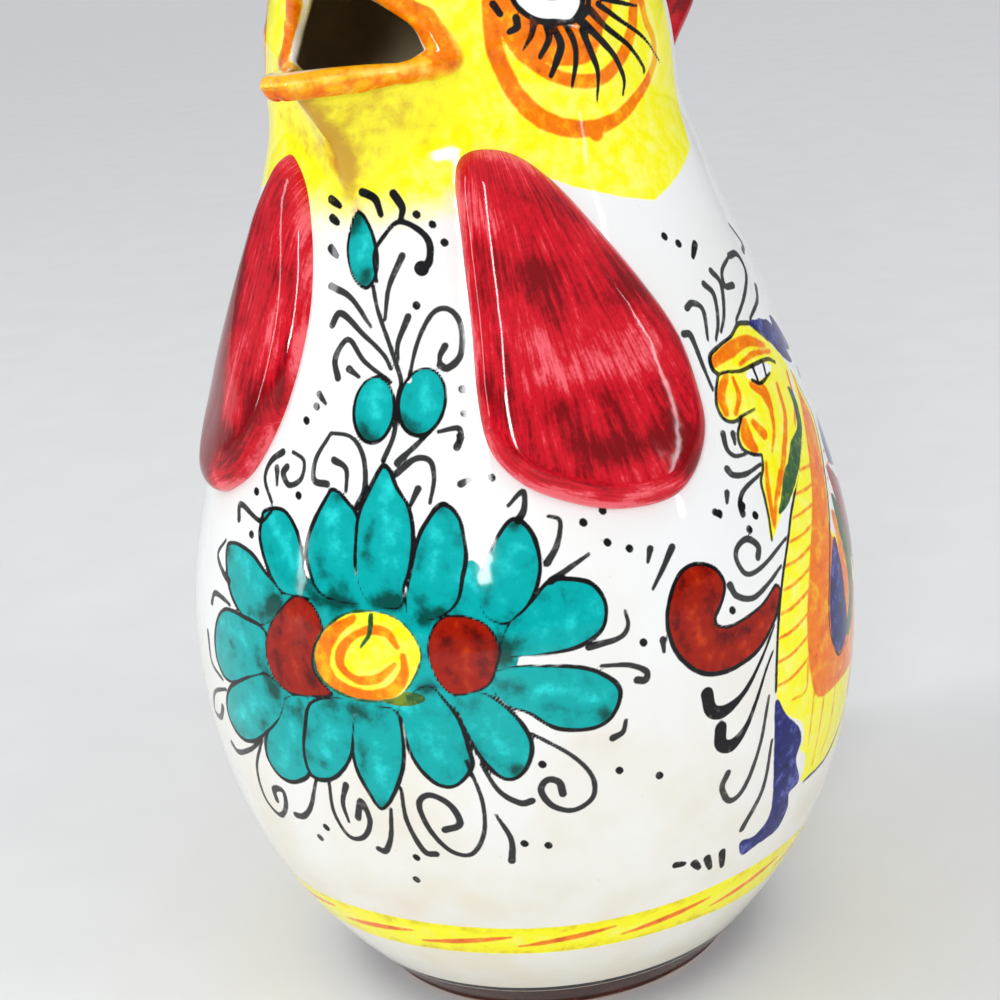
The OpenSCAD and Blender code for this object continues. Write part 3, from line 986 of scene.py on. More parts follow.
DARK_SIDES = [[(263, 618), (250, 612)], [(372, 520), (366, 552)], [(424, 542), (420, 570)],
              [(545, 704), (570, 712)], [(268, 716), (262, 728)], [(470, 744), (480, 756)],
              [(306, 732), (308, 756)], [(360, 740), (366, 772)], [(232, 640), (236, 656)],
              [(484, 580), (486, 600)], [(318, 556), (326, 578)]]
TIP_REACH, TIP_DARK = 9, -0.24
SIDE_REACH, SIDE_DARK = 7, -0.12
POOLS = [[(318, 600), (352, 604)], [(374, 603), (396, 604)], [(424, 620), (440, 613)],
         [(416, 690), (432, 688)], [(500, 640), (506, 660)], [(352, 708), (362, 712)],
         [(268, 676), (274, 690)], [(268, 610), (276, 600)]]
POOL_REACH, POOL_DARK = 8, -0.26
LOBE_LINE = (2.6, 3.4, 2, 2.6)
LOBE_STREAKS = [[(283, 620), (276, 645), (282, 672)], [(304, 612), (308, 632)], [(303, 660), (312, 684)],
                [(446, 640), (446, 664), (456, 684)], [(470, 628), (484, 648), (482, 672)]]
LOBE_LIGHTS = [[(294, 618), (290, 648), (298, 676)], [(458, 634), (466, 658), (466, 682)]]
STREAK_REACH, STREAK_TINT = 6, 0.11
LEAF, LEAF_WIDE, LEAF_HIGH = (404, 699), 22, 7
LEAF_REACH, LEAF_LIGHT = 16, 0.4
HEART_RING_WIDTHS = (8, 16, 20, 16, 19, 16, 13, 6)
HEART_SWIRL_WIDTHS = (6, 11, 8, 12, 8, 11, 6)
HEART_LINE = (2.8, 2, 3.4, 2.8)
SEPAL, SEPAL_WIDTHS = [(371, 616), (369, 634), (360, 648)], (6, 5, 3)


def paint_petal(p, outline):
    """A petal: its outline is thinnest at the root, and it is light along the middle and dark at the root."""
    ring = np.array(outline, float)
    away = np.linalg.norm(ring - HEART_MIDDLE, axis=1)
    tip, root = ring[away.argmax()], ring[np.argsort(away)[:ROOT_POINTS]].mean(0)
    p.fill("teal", outline)
    p.loop("ink", np.roll(ring, -away.argmin(), axis=0), PETAL_LINE)
    p.tint([mix(root, tip, share) for share in PETAL_LIGHT_SHARES], PETAL_LIGHT_REACH, PETAL_LIGHT)
    p.tint([mix(root, tip, share) for share in PETAL_DARK_SHARES], PETAL_DARK_REACH, PETAL_DARK)


def paint_heart(p):
    for outline in LOBES:
        p.outlined("brown", outline, LOBE_LINE)
    p.tints(LOBE_STREAKS, STREAK_REACH, -STREAK_TINT)
    p.tints(LOBE_LIGHTS, STREAK_REACH, STREAK_TINT)
    p.fill("green", ellipse(LEAF, LEAF_WIDE, LEAF_HIGH))
    p.tint([LEAF], LEAF_REACH, LEAF_LIGHT)
    p.fill("yellow", HEART)
    p.loop("green", HEART, HEART_LINE)
    p.stroke("orange", HEART_RING, HEART_RING_WIDTHS)
    p.stroke("orange", HEART_SWIRL, HEART_SWIRL_WIDTHS)
    p.stroke("green", SEPAL, SEPAL_WIDTHS)


def paint_flower(p):
    p.fill("teal", PETAL_GROUND)
    for outline in PETALS:
        paint_petal(p, outline)
    # painted highlight on the petals' ground
    p.tint(PAINTED_HIGHLIGHT_GROUND, PAINTED_HIGHLIGHT_REACH, PAINTED_HIGHLIGHT)
    p.tints([[place] for place in DARK_TIPS], TIP_REACH, TIP_DARK)
    p.tints(DARK_SIDES, SIDE_REACH, SIDE_DARK)
    p.tints(POOLS, POOL_REACH, POOL_DARK)
    paint_heart(p)


# Bud, leaves and stem above the flower
STEM = [(373, 286), (378, 311), (391, 349), (401, 381), (398, 397), (394, 434), (383, 461)]
HOOK = [(377, 282), (374, 255), (384, 236), (398, 222), (416, 228), (429, 242), (429, 262), (421, 269)]
HOOK_END, HOOK_END_WIDTH = (421, 268), 15
BUD = [(358, 211), (370, 228), (377, 255), (375, 277), (366, 288), (354, 278), (348, 255), (350, 232)]
STEM_WIDTHS = (4.5, 5, 5.5)
HOOK_WIDTHS = (3.6, 4.2, 5.5, 7, 9)
BUD_LINE = (3.6, 4.6, 2.6, 3.6)
BUD_DARKS = [[(366, 272), (364, 286)], [(356, 216), (354, 232)], [(362, 430), (372, 441)],
             [(402, 418), (414, 432)]]
BUD_LIGHTS = [[(362, 236), (364, 262)], [(376, 392), (374, 416)], [(426, 384), (424, 410)]]
BUD_LEAVES = [((374, 410), 20, 33, 6), ((422, 402), 23, 34, 12)]
BUD_GAP, BUD_GAP_WIDTH = (408, 379), 6


def paint_bud(p):
    p.outlined("teal", BUD, BUD_LINE)
    p.stroke("ink", STEM, STEM_WIDTHS, SCROLL_LOAD)
    p.stroke("ink", HOOK, HOOK_WIDTHS)
    p.dots("ink", [HOOK_END], HOOK_END_WIDTH)
    for leaf in BUD_LEAVES:
        p.outlined("teal", ellipse(*leaf), BUD_LINE)
    p.dots("white", [BUD_GAP], BUD_GAP_WIDTH)
    p.tints(BUD_DARKS, TIP_REACH, TIP_DARK)
    p.tints(BUD_LIGHTS, PETAL_LIGHT_REACH, PETAL_LIGHT)


# Scrolls and dots: lines of pixels, thick at their first end and thin at their last unless said otherwise
BUD_DASHES = [[(331, 199), (340, 206)], [(332, 218), (338, 223)], [(362, 192), (375, 199), (381, 215)],
              [(393, 193), (402, 207), (401, 218)], [(331, 248), (337, 256)]]
FRONDS = [[(331, 286), (351, 298), (371, 327)], [(332, 325), (341, 313), (362, 333), (383, 354), (391, 369)],
          [(338, 378), (335, 360), (343, 343), (351, 341), (365, 362), (391, 382)], [(349, 369), (359, 377)],
          [(402, 256), (389, 287), (385, 319)], [(408, 317), (398, 343), (398, 360)],
          [(440, 365), (448, 368), (461, 354), (461, 325), (448, 309), (432, 314), (418, 341), (409, 378)],
          [(445, 346), (440, 356), (440, 365)], [(327, 484), (314, 480), (316, 459), (331, 433)],
          [(357, 507), (365, 488), (363, 456), (351, 437), (331, 433)], [(334, 460), (346, 469), (346, 491)],
          [(457, 447), (461, 437), (458, 428), (438, 432)], [(397, 463), (430, 432)],
          [(397, 473), (415, 459), (430, 461), (434, 479), (430, 503)], [(418, 489), (410, 506)],
          [(461, 484), (472, 479), (480, 485)], [(319, 394), (326, 404)]]
LEFT_SCROLLS = [[(283, 452), (271, 461), (265, 479), (272, 503)],
                [(287, 467), (283, 473), (289, 485), (301, 479), (304, 461), (293, 452)],
                [(277, 468), (277, 485)], [(239, 519), (241, 504), (260, 521), (271, 512)],
                [(229, 581), (223, 572), (218, 554), (226, 540)],
                [(212, 602), (215, 593), (224, 599), (230, 605)], [(208, 632), (212, 662), (223, 680)],
                [(223, 707), (221, 717), (215, 710), (215, 692), (226, 689)],
                [(232, 743), (239, 752), (251, 749), (262, 740)]]
LOW_SCROLLS = [[(277, 800), (274, 789), (283, 791), (286, 806), (280, 815), (265, 797), (257, 767),
                (262, 740)],
               [(296, 815), (304, 816), (311, 806), (316, 780)],
               [(358, 818), (361, 801), (370, 821), (364, 837), (349, 836), (334, 812), (329, 782)],
               [(346, 785), (343, 803), (349, 822)], [(379, 849), (386, 851), (391, 836), (391, 809)],
               [(436, 854), (424, 851), (407, 821), (401, 788)],
               [(445, 830), (460, 824), (451, 806), (430, 795), (419, 804), (430, 830), (451, 851),
                (472, 854), (484, 833), (482, 800), (466, 761)],
               [(512, 861), (511, 839), (496, 815)], [(532, 801), (520, 803), (499, 791), (481, 764)],
               [(563, 794), (559, 782), (547, 780), (541, 791), (553, 806), (574, 810), (593, 797),
                (592, 776), (571, 755), (532, 734)]]
RIGHT_SCROLLS = [[(589, 647), (619, 638), (628, 626), (625, 611)],
                 [(637, 680), (646, 680), (646, 671), (628, 665), (601, 666)],
                 [(613, 738), (623, 732), (626, 720)], [(547, 563), (557, 545), (560, 521), (548, 516)],
                 [(551, 581), (568, 569), (589, 554)], [(518, 521), (524, 509), (523, 491), (508, 506)],
                 [(672, 547), (664, 566), (653, 589)], [(650, 549), (648, 562)], [(663, 640), (664, 652)]]
DOTS = [(416, 214), (432, 224), (444, 242), (416, 305), (316, 406), (306, 420), (462, 389), (464, 413),
        (491, 477), (256, 491), (298, 495), (251, 534), (542, 764), (524, 843), (548, 845), (320, 837),
        (326, 827), (416, 857), (416, 879), (619, 770), (659, 775), (643, 642), (583, 522), (602, 510),
        (607, 542), (629, 548), (460, 436)]
SCROLL_WIDTHS = (8, 6.4, 5.2, 4)
DASH_WIDTHS = (9, 8.5, 6)
DOT_WIDTH = 8


def paint_scrolls(p):
    p.strokes("ink", BUD_DASHES, DASH_WIDTHS)
    p.strokes("ink", FRONDS + LEFT_SCROLLS + LOW_SCROLLS + RIGHT_SCROLLS, SCROLL_WIDTHS, SCROLL_LOAD)
    p.dots("ink", DOTS, DOT_WIDTH)


# Side figure: a bearded mask on a fish-like column, the common grotesque of painted earthenware
MASK = [(738, 324), (728, 340), (712, 353), (710, 361), (714, 371), (718, 377), (716, 395), (717, 406),
        (724, 418), (732, 422), (741, 420), (738, 434), (742, 447), (752, 453), (761, 455), (761, 482),
        (766, 501), (771, 540), (779, 521), (783, 510), (796, 488), (802, 449), (802, 417), (792, 389),
        (787, 365), (770, 343), (753, 328)]
MASK_WARM = [([(714, 362), (727, 352), (746, 341), (764, 345)], (12, 17, 13, 7)),
             ([(740, 364), (753, 354), (770, 351)], (5, 7, 4)),
             ([(726, 377), (721, 395), (726, 413)], (9, 13, 9)),
             ([(733, 378), (739, 396), (736, 413)], (5, 8, 6)),
             ([(752, 385), (764, 392), (771, 408)], (9, 17, 9)),
             ([(770, 404), (774, 430), (772, 452)], (9, 6, 3)),
             ([(744, 421), (747, 437), (755, 449)], (9, 18, 11)), ([(753, 422), (764, 434)], (8, 12)),
             ([(777, 384), (785, 415), (784, 453), (779, 495)], (6, 8, 9, 4)),
             ([(787, 372), (794, 400), (795, 425)], (6, 6, 3)),
             ([(766, 462), (768, 486), (774, 526)], (4, 8, 4)),
             ([(780, 470), (776, 500), (775, 528)], (4, 6, 3))]
MASK_LINES = [([(748, 323), (738, 324), (731, 336), (720, 345), (711, 354), (710, 361), (713, 370),
                (718, 374)],
               (6, 5, 4, 5, 6, 5)),
              ([(717, 375), (726, 372), (740, 371), (753, 365), (767, 359), (775, 362)], (3.5, 4, 5, 4)),
              ([(718, 375), (716, 392), (717, 406), (723, 418), (732, 422), (740, 419)],
               (4, 4.5, 4.5, 4)),
              ([(741, 419), (738, 435), (742, 448), (752, 454), (762, 455)], (4, 4.5, 4)),
              ([(762, 455), (763, 468), (761, 482), (765, 499), (769, 519), (772, 540)], (4, 4, 3.5)),
              ([(752, 380), (761, 383), (770, 373)], (4, 4.5, 3)), ([(740, 417), (755, 409)], (3.5, 3)),
              ([(748, 323), (757, 331), (771, 343)], (3, 2.5))]
MASK_EYE = [(746, 375), (753, 366), (762, 362), (771, 366), (768, 374), (759, 380), (752, 380)]
MASK_EYE_BARS, MASK_EYE_BAR_WIDTHS = [[(753, 368), (758, 380)], [(763, 363), (766, 375)]], (4.5, 4)
CAP = [(748, 321), (767, 320), (778, 336), (792, 361), (784, 358), (770, 342), (757, 331)]
COLLAR = [(787, 386), (793, 392), (799, 410), (802, 430), (800, 461), (795, 485), (788, 504), (779, 514),
          (781, 497), (784, 473), (788, 461), (791, 441), (797, 427), (794, 406)]
COLUMN = [(791, 514), (788, 540), (783, 575), (779, 615), (777, 655), (776, 692), (785, 713), (801, 722),
          (804, 736), (800, 750), (805, 754), (804, 768), (801, 782), (824, 761), (840, 731), (847, 699),
          (855, 662), (857, 612), (855, 577), (846, 543), (831, 530), (828, 499), (824, 468), (820, 444),
          (813, 416), (802, 392), (790, 368), (796, 395), (803, 425), (802, 438), (799, 465), (795, 491)]
COLUMN_WARM = [(811, 532), (809, 578), (807, 623), (810, 669), (818, 697), (838, 682), (853, 655),
               (857, 612), (853, 580), (838, 545), (830, 530), (827, 499), (823, 468), (819, 446),
               (812, 418), (801, 394), (791, 371), (800, 400), (808, 450), (812, 495)]
COLUMN_LEFT_LINE = [(802, 438), (799, 465), (795, 491), (791, 514), (788, 540), (783, 575), (779, 615),
                    (777, 655), (776, 692)]
COLUMN_RIGHT_LINE = [(790, 369), (802, 392), (813, 416), (820, 444), (824, 468), (828, 499), (830, 540),
                     (829, 610), (832, 640), (840, 655)]
COLUMN_EDGE = [(847, 700), (836, 734), (823, 761), (803, 782)]
COLUMN_LEFT_WIDTHS, COLUMN_RIGHT_WIDTHS, COLUMN_EDGE_WIDTHS = (4.5, 4, 4), (2, 3.5, 3, 2.5), (3, 5, 3)
SCALES_TOP, SCALES_LOW, SCALES_PITCH = 470, 705, 24.0
SCALE_STROKE, SCALE_WIDTHS = [(2, 0), (14, -7), (30, -25), (42, -50)], (3, 3.5, 3, 2)
FAN_STROKES = [[(808, 660), (806, 690), (792, 700)], [(816, 670), (812, 715), (808, 745)],
               [(826, 680), (820, 725), (812, 765)], [(836, 680), (830, 725), (820, 755)]]
FAN_WIDTHS = (3, 2.5, 2)
WING_GAP, WING_GAP_WIDTHS = [(818, 428), (824, 460), (830, 505)], (3, 5, 3)
WING_STRIPES = [("brown",
                 [(826, 466), (832, 470), (841, 486), (850, 515), (854, 550), (850, 556), (844, 530),
                  (836, 500)]),
                ("orange",
                 [(831, 510), (836, 515), (843, 536), (848, 566), (848, 592), (845, 590), (844, 566),
                  (837, 540)]),
                ("green",
                 [(831, 494), (836, 500), (845, 526), (851, 560), (853, 600), (849, 634), (846, 630),
                  (849, 600), (847, 568), (839, 530)]),
                ("navy", [(816, 412), (822, 422), (829, 444), (834, 463), (829, 462), (822, 440)]),
                ("navy", [(769, 315), (775, 321), (789, 346), (785, 348), (776, 334)])]
FEATHER = [(834, 536), (838, 550), (842, 570), (845, 595), (847, 620), (845, 640), (840, 652), (834, 646),
           (831, 630), (830, 600), (831, 565)]
FEATHER_RIM, FEATHER_RIM_WIDTHS = [(831, 634), (838, 655), (847, 640)], (2, 3, 2)
CURL = [(695, 564), (679, 575), (669, 603), (668, 628), (677, 653), (695, 670), (714, 674), (736, 667),
        (759, 649), (776, 616), (780, 591), (776, 585), (762, 605), (741, 621), (725, 627), (715, 621),
        (723, 598), (724, 582), (714, 568)]
CURL_LINE = (4.5, 5.5, 3.5, 4.5)
CURL_DARKS = [[(680, 590), (676, 620), (686, 650)], [(720, 640), (748, 630), (772, 604)],
              [(706, 574), (716, 600)]]
CURL_LIGHTS = [[(697, 585), (692, 615), (700, 640)], [(706, 656), (735, 650), (760, 626)]]
TAIL = [(776, 700), (787, 715), (799, 727), (801, 741), (796, 759), (799, 780), (789, 793), (787, 809),
        (776, 830), (755, 846), (742, 855), (740, 842), (755, 835), (769, 816), (773, 791), (774, 750)]
SIDE_SCROLLS = [[(743, 251), (742, 243), (729, 224)], [(733, 285), (725, 286), (722, 271), (729, 256)],
                [(729, 256), (737, 254), (746, 273), (744, 297), (736, 321)],
                [(711, 271), (721, 284), (724, 314), (721, 332)],
                [(704, 284), (714, 295), (718, 321), (716, 340)],
                [(687, 308), (692, 303), (703, 310), (708, 340)],
                [(684, 334), (691, 336), (703, 366), (713, 390)], [(756, 286), (757, 301), (750, 319)],
                [(758, 557), (758, 546), (747, 539), (737, 548), (737, 561), (747, 574), (763, 566),
                 (786, 538)],
                [(730, 585), (737, 596), (753, 598), (768, 584), (781, 566)],
                [(723, 434), (727, 449), (735, 456), (746, 454)], [(733, 434), (735, 444)],
                [(727, 469), (733, 475), (746, 474), (761, 464)],
                [(743, 514), (740, 503), (744, 490), (761, 473)], [(727, 493), (727, 503)],
                [(715, 512), (721, 517)],
                [(728, 773), (722, 788), (730, 801), (745, 786), (760, 745), (769, 696)],
                [(742, 829), (763, 788), (772, 740)]]
HEAVY_SCROLLS = [[(707, 694), (711, 710), (722, 712), (737, 701), (750, 683), (764, 653), (774, 626)],
                 [(721, 728), (721, 744), (732, 745), (746, 727), (757, 699), (766, 670), (773, 651)]]
HEAVY_WIDTHS = (15, 15, 7, 5, 4, 3)
SIDE_DOTS = [(664, 236), (678, 243), (732, 610), (719, 513), (742, 505), (755, 515), (749, 529)]
SIDE_DASHES = [[(695, 244), (693, 257)], [(676, 865), (684, 864)], [(694, 863), (699, 868)],
               [(707, 858), (710, 868)], [(722, 852), (722, 866)]]


def paint_mask(p):
    p.fill("yellow", MASK)
    p.fill("navy", CAP)
    p.fill("green", COLLAR)
    for line, widths in MASK_WARM:
        p.stroke("orange", line, widths)
    p.fill("white", MASK_EYE)
    p.strokes("ink", MASK_EYE_BARS, MASK_EYE_BAR_WIDTHS)
    for line, widths in MASK_LINES:
        p.stroke("ink", line, widths, MASK_LOAD)


def paint_column(p):
    p.fill("yellow", COLUMN)
    p.fill("orange", COLUMN_WARM)
    for y in np.arange(SCALES_TOP, SCALES_LOW, SCALES_PITCH):
        left = np.interp(y, *np.array(COLUMN_LEFT_LINE)[:, ::-1].T)
        p.stroke("orange", np.add(SCALE_STROKE, (left, y)), SCALE_WIDTHS)
    p.strokes("orange", FAN_STROKES, FAN_WIDTHS)
    p.stroke("ink", COLUMN_LEFT_LINE, COLUMN_LEFT_WIDTHS)
    p.stroke("ink", COLUMN_RIGHT_LINE, COLUMN_RIGHT_WIDTHS)
    p.stroke("navy", COLUMN_EDGE, COLUMN_EDGE_WIDTHS)
    p.stroke("white", WING_GAP, WING_GAP_WIDTHS)
    p.fill("navy", FEATHER)
    for colour, outline in WING_STRIPES:
        p.fill(colour, outline)
    p.stroke("ink", FEATHER_RIM, FEATHER_RIM_WIDTHS)


def paint_figure(p):
    paint_column(p)
    paint_mask(p)
    p.outlined("brown", CURL, CURL_LINE)
    p.tints(CURL_DARKS, STREAK_REACH, -STREAK_TINT)
    p.tints(CURL_LIGHTS, STREAK_REACH, STREAK_TINT)
    p.fill("navy", TAIL)
    p.strokes("ink", SIDE_SCROLLS, SCROLL_WIDTHS, SIDE_LOAD)
    p.strokes("ink", HEAVY_SCROLLS, HEAVY_WIDTHS)
    p.strokes("ink", SIDE_DASHES, DASH_WIDTHS)
    p.dots("ink", SIDE_DOTS, DOT_WIDTH)


# Back of the figure, out of the photograph's sight: a wing of four feathers and a tail that curls up
WING_ROOT = (108, 84)
WING_TIPS = [("brown", (139, 115)), ("green", (148, 103)), ("navy", (151, 89)), ("orange", (147, 76))]
FEATHER_HALF = 5.6
FEATHER_LINE = (0.9, 1.3, 0.8, 1.1)
QUILL_SHARES = (0.35, 0.92)
QUILL_LINE = (1.0, 0.5)
CURL_TAIL = [(106, 58), (119, 51), (133, 48), (146, 51), (152, 60), (147, 68), (139, 66), (139, 60)]
CURL_YELLOW = (25, 20, 15, 12, 10, 8, 6, 4)
CURL_ORANGE = (9, 8, 6, 4.5, 3.5, 3, 2.5, 1.5)
BACK_SCROLLS = [[(158, 46), (164, 52), (163, 62), (157, 66), (155, 61)],
                [(160, 78), (166, 84), (164, 92), (159, 92)],
                [(156, 112), (160, 120), (155, 126), (150, 122)],
                [(124, 124), (129, 132), (125, 138), (120, 134)]]
BACK_SCROLL_LINE = (1.0, 1.5, 1.2, 0.7)
BACK_DOTS = [(161, 104), (157, 98), (112, 122), (117, 117), (128, 64), (166, 70)]
BACK_DOT = 1.8


def paint_feather(p, colour, tip):
    middle, along = np.add(WING_ROOT, tip) / 2, np.subtract(tip, WING_ROOT)
    lean = math.degrees(math.atan2(along[1], along[0]))
    p.outlined(colour, ellipse(middle, math.hypot(*along) / 2, FEATHER_HALF, lean), FEATHER_LINE)
    p.stroke("white", [WING_ROOT + along * share for share in QUILL_SHARES], QUILL_LINE)


def paint_back(p):
    p.stroke("yellow", CURL_TAIL, CURL_YELLOW)
    p.stroke("orange", CURL_TAIL, CURL_ORANGE)
    for colour, tip in WING_TIPS:
        paint_feather(p, colour, tip)
    p.strokes("ink", BACK_SCROLLS, BACK_SCROLL_LINE)
    p.dots("ink", BACK_DOTS, BACK_DOT)


# Eye: white, black-rimmed, on orange, with lashes below and two orange rings round it
EYE_WHITE = [(513, 0), (522, 11), (536, 20), (553, 22), (571, 22), (578, 15), (582, 5), (583, -18),
             (576, -40), (556, -54), (534, -50), (518, -34), (512, -14)]
EYE_ORANGE = [(494, 5), (501, 18), (512, 38), (539, 60), (564, 66), (588, 62), (599, 46), (604, 25),
              (612, 5), (606, -34), (580, -66), (545, -72), (510, -55), (494, -25)]
EYE_RING = [(515, 46), (533, 63), (556, 76), (578, 81), (599, 79), (615, 66), (625, 50), (631, 31),
            (633, 14), (632, -5), (614, -52), (582, -84), (545, -90), (512, -70), (498, -25), (500, 15)]
EYE_OUTER = [(655, 59), (653, 39), (646, 21), (641, 0), (630, -50), (614, -85), (582, -112), (545, -112),
             (510, -90), (494, -45), (490, 0), (491, 21), (495, 49), (504, 73), (518, 97), (536, 115),
             (559, 126), (581, 129), (603, 125), (622, 114), (637, 97), (648, 79), (655, 59)]
EYE_OUTER_WIDTHS = (10, 11, 12, 12, 14, 16, 16, 16, 16, 16, 16, 16, 16, 17, 18, 18, 18, 19, 18, 15, 13,
                    11, 10)
EYE_RING_WIDTHS = (13, 15, 12, 13)
EYE_DRIP, EYE_DRIP_WIDTH = (595, 132), 17
EYE_LIGHT = [(654, 70), (654, 40), (646, 10)]
EYE_LIGHT_REACH, EYE_LIGHT_TINT = 9, 0.3
EYE_RIM = (6, 7, 6)
EYE_CORNER = [(579, 20), (587, 10), (589, -4)]
PUPIL, PUPIL_WIDE, PUPIL_HIGH = (552, -16), 16, 17
LASHES = [([(493, 4), (500, 14)], (8, 7)), ([(516, 18), (517, 27), (509, 32)], (8, 8, 6)),
          ([(534, 22), (531, 36), (523, 50)], (8, 6, 2)), ([(547, 25), (549, 39), (540, 57)], (9, 7, 5)),
          ([(554, 28), (561, 45), (557, 60), (551, 76)], (7, 9, 8, 5)),
          ([(567, 27), (574, 42), (576, 60), (572, 87)], (7, 7, 6, 3)),
          ([(582, 30), (591, 52), (598, 73), (597, 102)], (8, 8, 5, 2)),
          ([(581, 21), (599, 38), (615, 57), (624, 79), (623, 95)], (10, 8, 7, 6, 3)),
          ([(591, 11), (606, 27), (629, 46), (643, 66), (644, 72)], (9, 7, 6, 5, 5)),
          ([(598, 4), (620, 20), (644, 38), (660, 62)], (7, 5.5, 4.5, 2.5)),
          ([(600, -3), (623, 3), (637, 6)], (8, 6, 3))]
LASH_GROW = 1.02


def paint_eye(p):
    p.fill("orange", EYE_ORANGE)
    p.loop("orange", EYE_RING, EYE_RING_WIDTHS)
    p.stroke("orange", EYE_OUTER, EYE_OUTER_WIDTHS)
    p.dots("orange", [EYE_DRIP], EYE_DRIP_WIDTH)
    p.tint(EYE_LIGHT, EYE_LIGHT_REACH, EYE_LIGHT_TINT)
    p.outlined("white", EYE_WHITE, EYE_RIM)
    p.stroke("ink", EYE_CORNER, EYE_RIM)
    p.fill("ink", ellipse(PUPIL, PUPIL_WIDE, PUPIL_HIGH))
    for line, widths in LASHES:
        p.stroke("ink", line, np.multiply(widths, LASH_GROW))


# Wattles: pools and lighter places in the crimson, and painted shade on the right wattle's outer half
WATTLE_TINTS = [([(560, 410), (600, 452), (680, 436)], 16, -0.13), ([(536, 268), (552, 300)], 12, -0.08),
                ([(500, 340), (512, 420)], 9, -0.1), ([(464, 200), (494, 226)], 16, 0.1),
                ([(560, 300), (640, 400)], 18, 0.08), ([(520, 482), (600, 505), (680, 482)], 8, 0.12),
                ([(452, 280), (454, 360)], 8, -0.08), ([(520, 300), (560, 372)], 12, 0.08)]
# Painted shade on the outer half of the right wattle
FAR_PAINTED_SHADE = 0.6


def paint_tints(p, tints, layer="shade"):
    """Tints of a table: where each lies, how far it reaches and how strong it is."""
    for line, reach, amount in tints:
        p.tint(line, reach, amount, layer)


def paint_far_wattle_shade(canvas):
    """Painted shade: the outer half of the right wattle is darker."""
    start = WATTLE_TURN_DEGREES - WATTLE_MIDDLE[0]
    angle = degrees_round(canvas.solid)
    canvas.layers["shade"] -= FAR_PAINTED_SHADE * np.clip((start - angle) / (start - angle.min()), 0, 1)


# Warm stains and painted shade on the white glaze, and painted shade in the yellow below the beak
# The first two are stains; the last two are painted shade low on the body
STAINS_AND_SHADE = [([(588, 742), (612, 738)], 14, 0.5), ([(232, 660), (238, 676)], 10, 0.5),
          ([(700, 800), (720, 780)], 18, 0.3), ([(300, 880), (420, 906)], 14, 0.3)]
# Painted shade in the yellow under the lower lip and along the keel
UNDER_BEAK_PAINTED_SHADE = [([(350, 112), (400, 118), (440, 122)], 24, -0.09),
              ([(284, 116), (306, 143), (326, 158), (342, 166)], 18, -0.14)]


# Washes that go round the pitcher: the yellow of the face, and the band and the line above the foot
FACE_EDGE = [(-180, 250), (-112, 250), (-106, 190), (-100, 171), (-81, 165.5), (-74, 164.5), (-66, 166),
             (-54, 169), (-40, 172), (-20, 169), (0, 168), (20, 168.5), (34, 172), (47, 172), (54, 169.4),
             (66, 166.1), (74.7, 164.3), (81, 165.8), (99.6, 171), (106, 182), (112, 250), (180, 250)]
FACE_THIN_DEGREES, FACE_FULL_DEGREES = 28, 50
FACE_THIN_SHARE = 0.05
# Painted shade along the keel of the beak and under the beak; the chin's yellow is also thinner
KEEL_SHADE_WIDTH, KEEL_SHADE = 2.6, 0.3
CHIN_OUT, CHIN_THIN, CHIN_SHADE = 3.0, 0.04, 0.1
BAND_LOW_Z, BAND_HIGH_Z = 22.4, 31.1
BAND_WOBBLE = 0.5
LOW_WAVE, LOW_RIPPLE, HIGH_WAVE = (3, 0), (7, 40), (5, 80)
BAND_EDGE, BAND_EDGE_SHADE = 2.4, 0.16
BAND_DASHES = 18
DASH_SPAN_SHARE = 0.94
DASH_RISE = 3.0
DASH_HALF = 0.85
DASH_TURN_DEGREES = 4.0
DASH_SWELL = (0.3, 2.8)
FOOT_LINE_Z = 8.0
FOOT_LINE_HALF, FOOT_LINE_LOADED = 0.75, 1.0


def wobble(angle, waves, start):
    """A hand's unsteadiness round the pitcher: some waves, the first of them begun by some degrees."""
    return BAND_WOBBLE * np.sin(np.radians(waves * angle + start))


def paint_dashes(canvas):
    """Slanting dashes all round the band, which swell and thin out."""
    pitch = 360 / BAND_DASHES
    middle = (BAND_LOW_Z + BAND_HIGH_Z) / 2
    span = np.linspace(0, pitch * DASH_SPAN_SHARE, LINE_STEPS)
    rise = np.linspace(-DASH_RISE / 2, DASH_RISE / 2, LINE_STEPS)
    radii = DASH_HALF * np.sin(np.linspace(*DASH_SWELL, LINE_STEPS))
    for i in range(BAND_DASHES):
        canvas.stroke("orange", on_skin(DASH_TURN_DEGREES + i * pitch + span, middle + rise), radii)


def paint_round(canvas):
    """The yellow band with its darker edges and dashes, and the line below it."""
    z = canvas.points[:, 2]
    angle = degrees_round(canvas.points)
    low = BAND_LOW_Z + wobble(angle, *LOW_WAVE) + wobble(angle, *LOW_RIPPLE) / 2
    high = BAND_HIGH_Z + wobble(angle, *HIGH_WAVE)
    canvas.wash("yellow", np.minimum(z - low, high - z))
    for edge in (low, high):
        canvas.layers["shade"] -= BAND_EDGE_SHADE * np.exp(-((z - edge) / BAND_EDGE)**2)
    off_line = np.abs(z - FOOT_LINE_Z)
    canvas.wash("ink", FOOT_LINE_HALF - off_line)
    canvas.wash("load", off_line < FOOT_LINE_LOADED)
    paint_dashes(canvas)


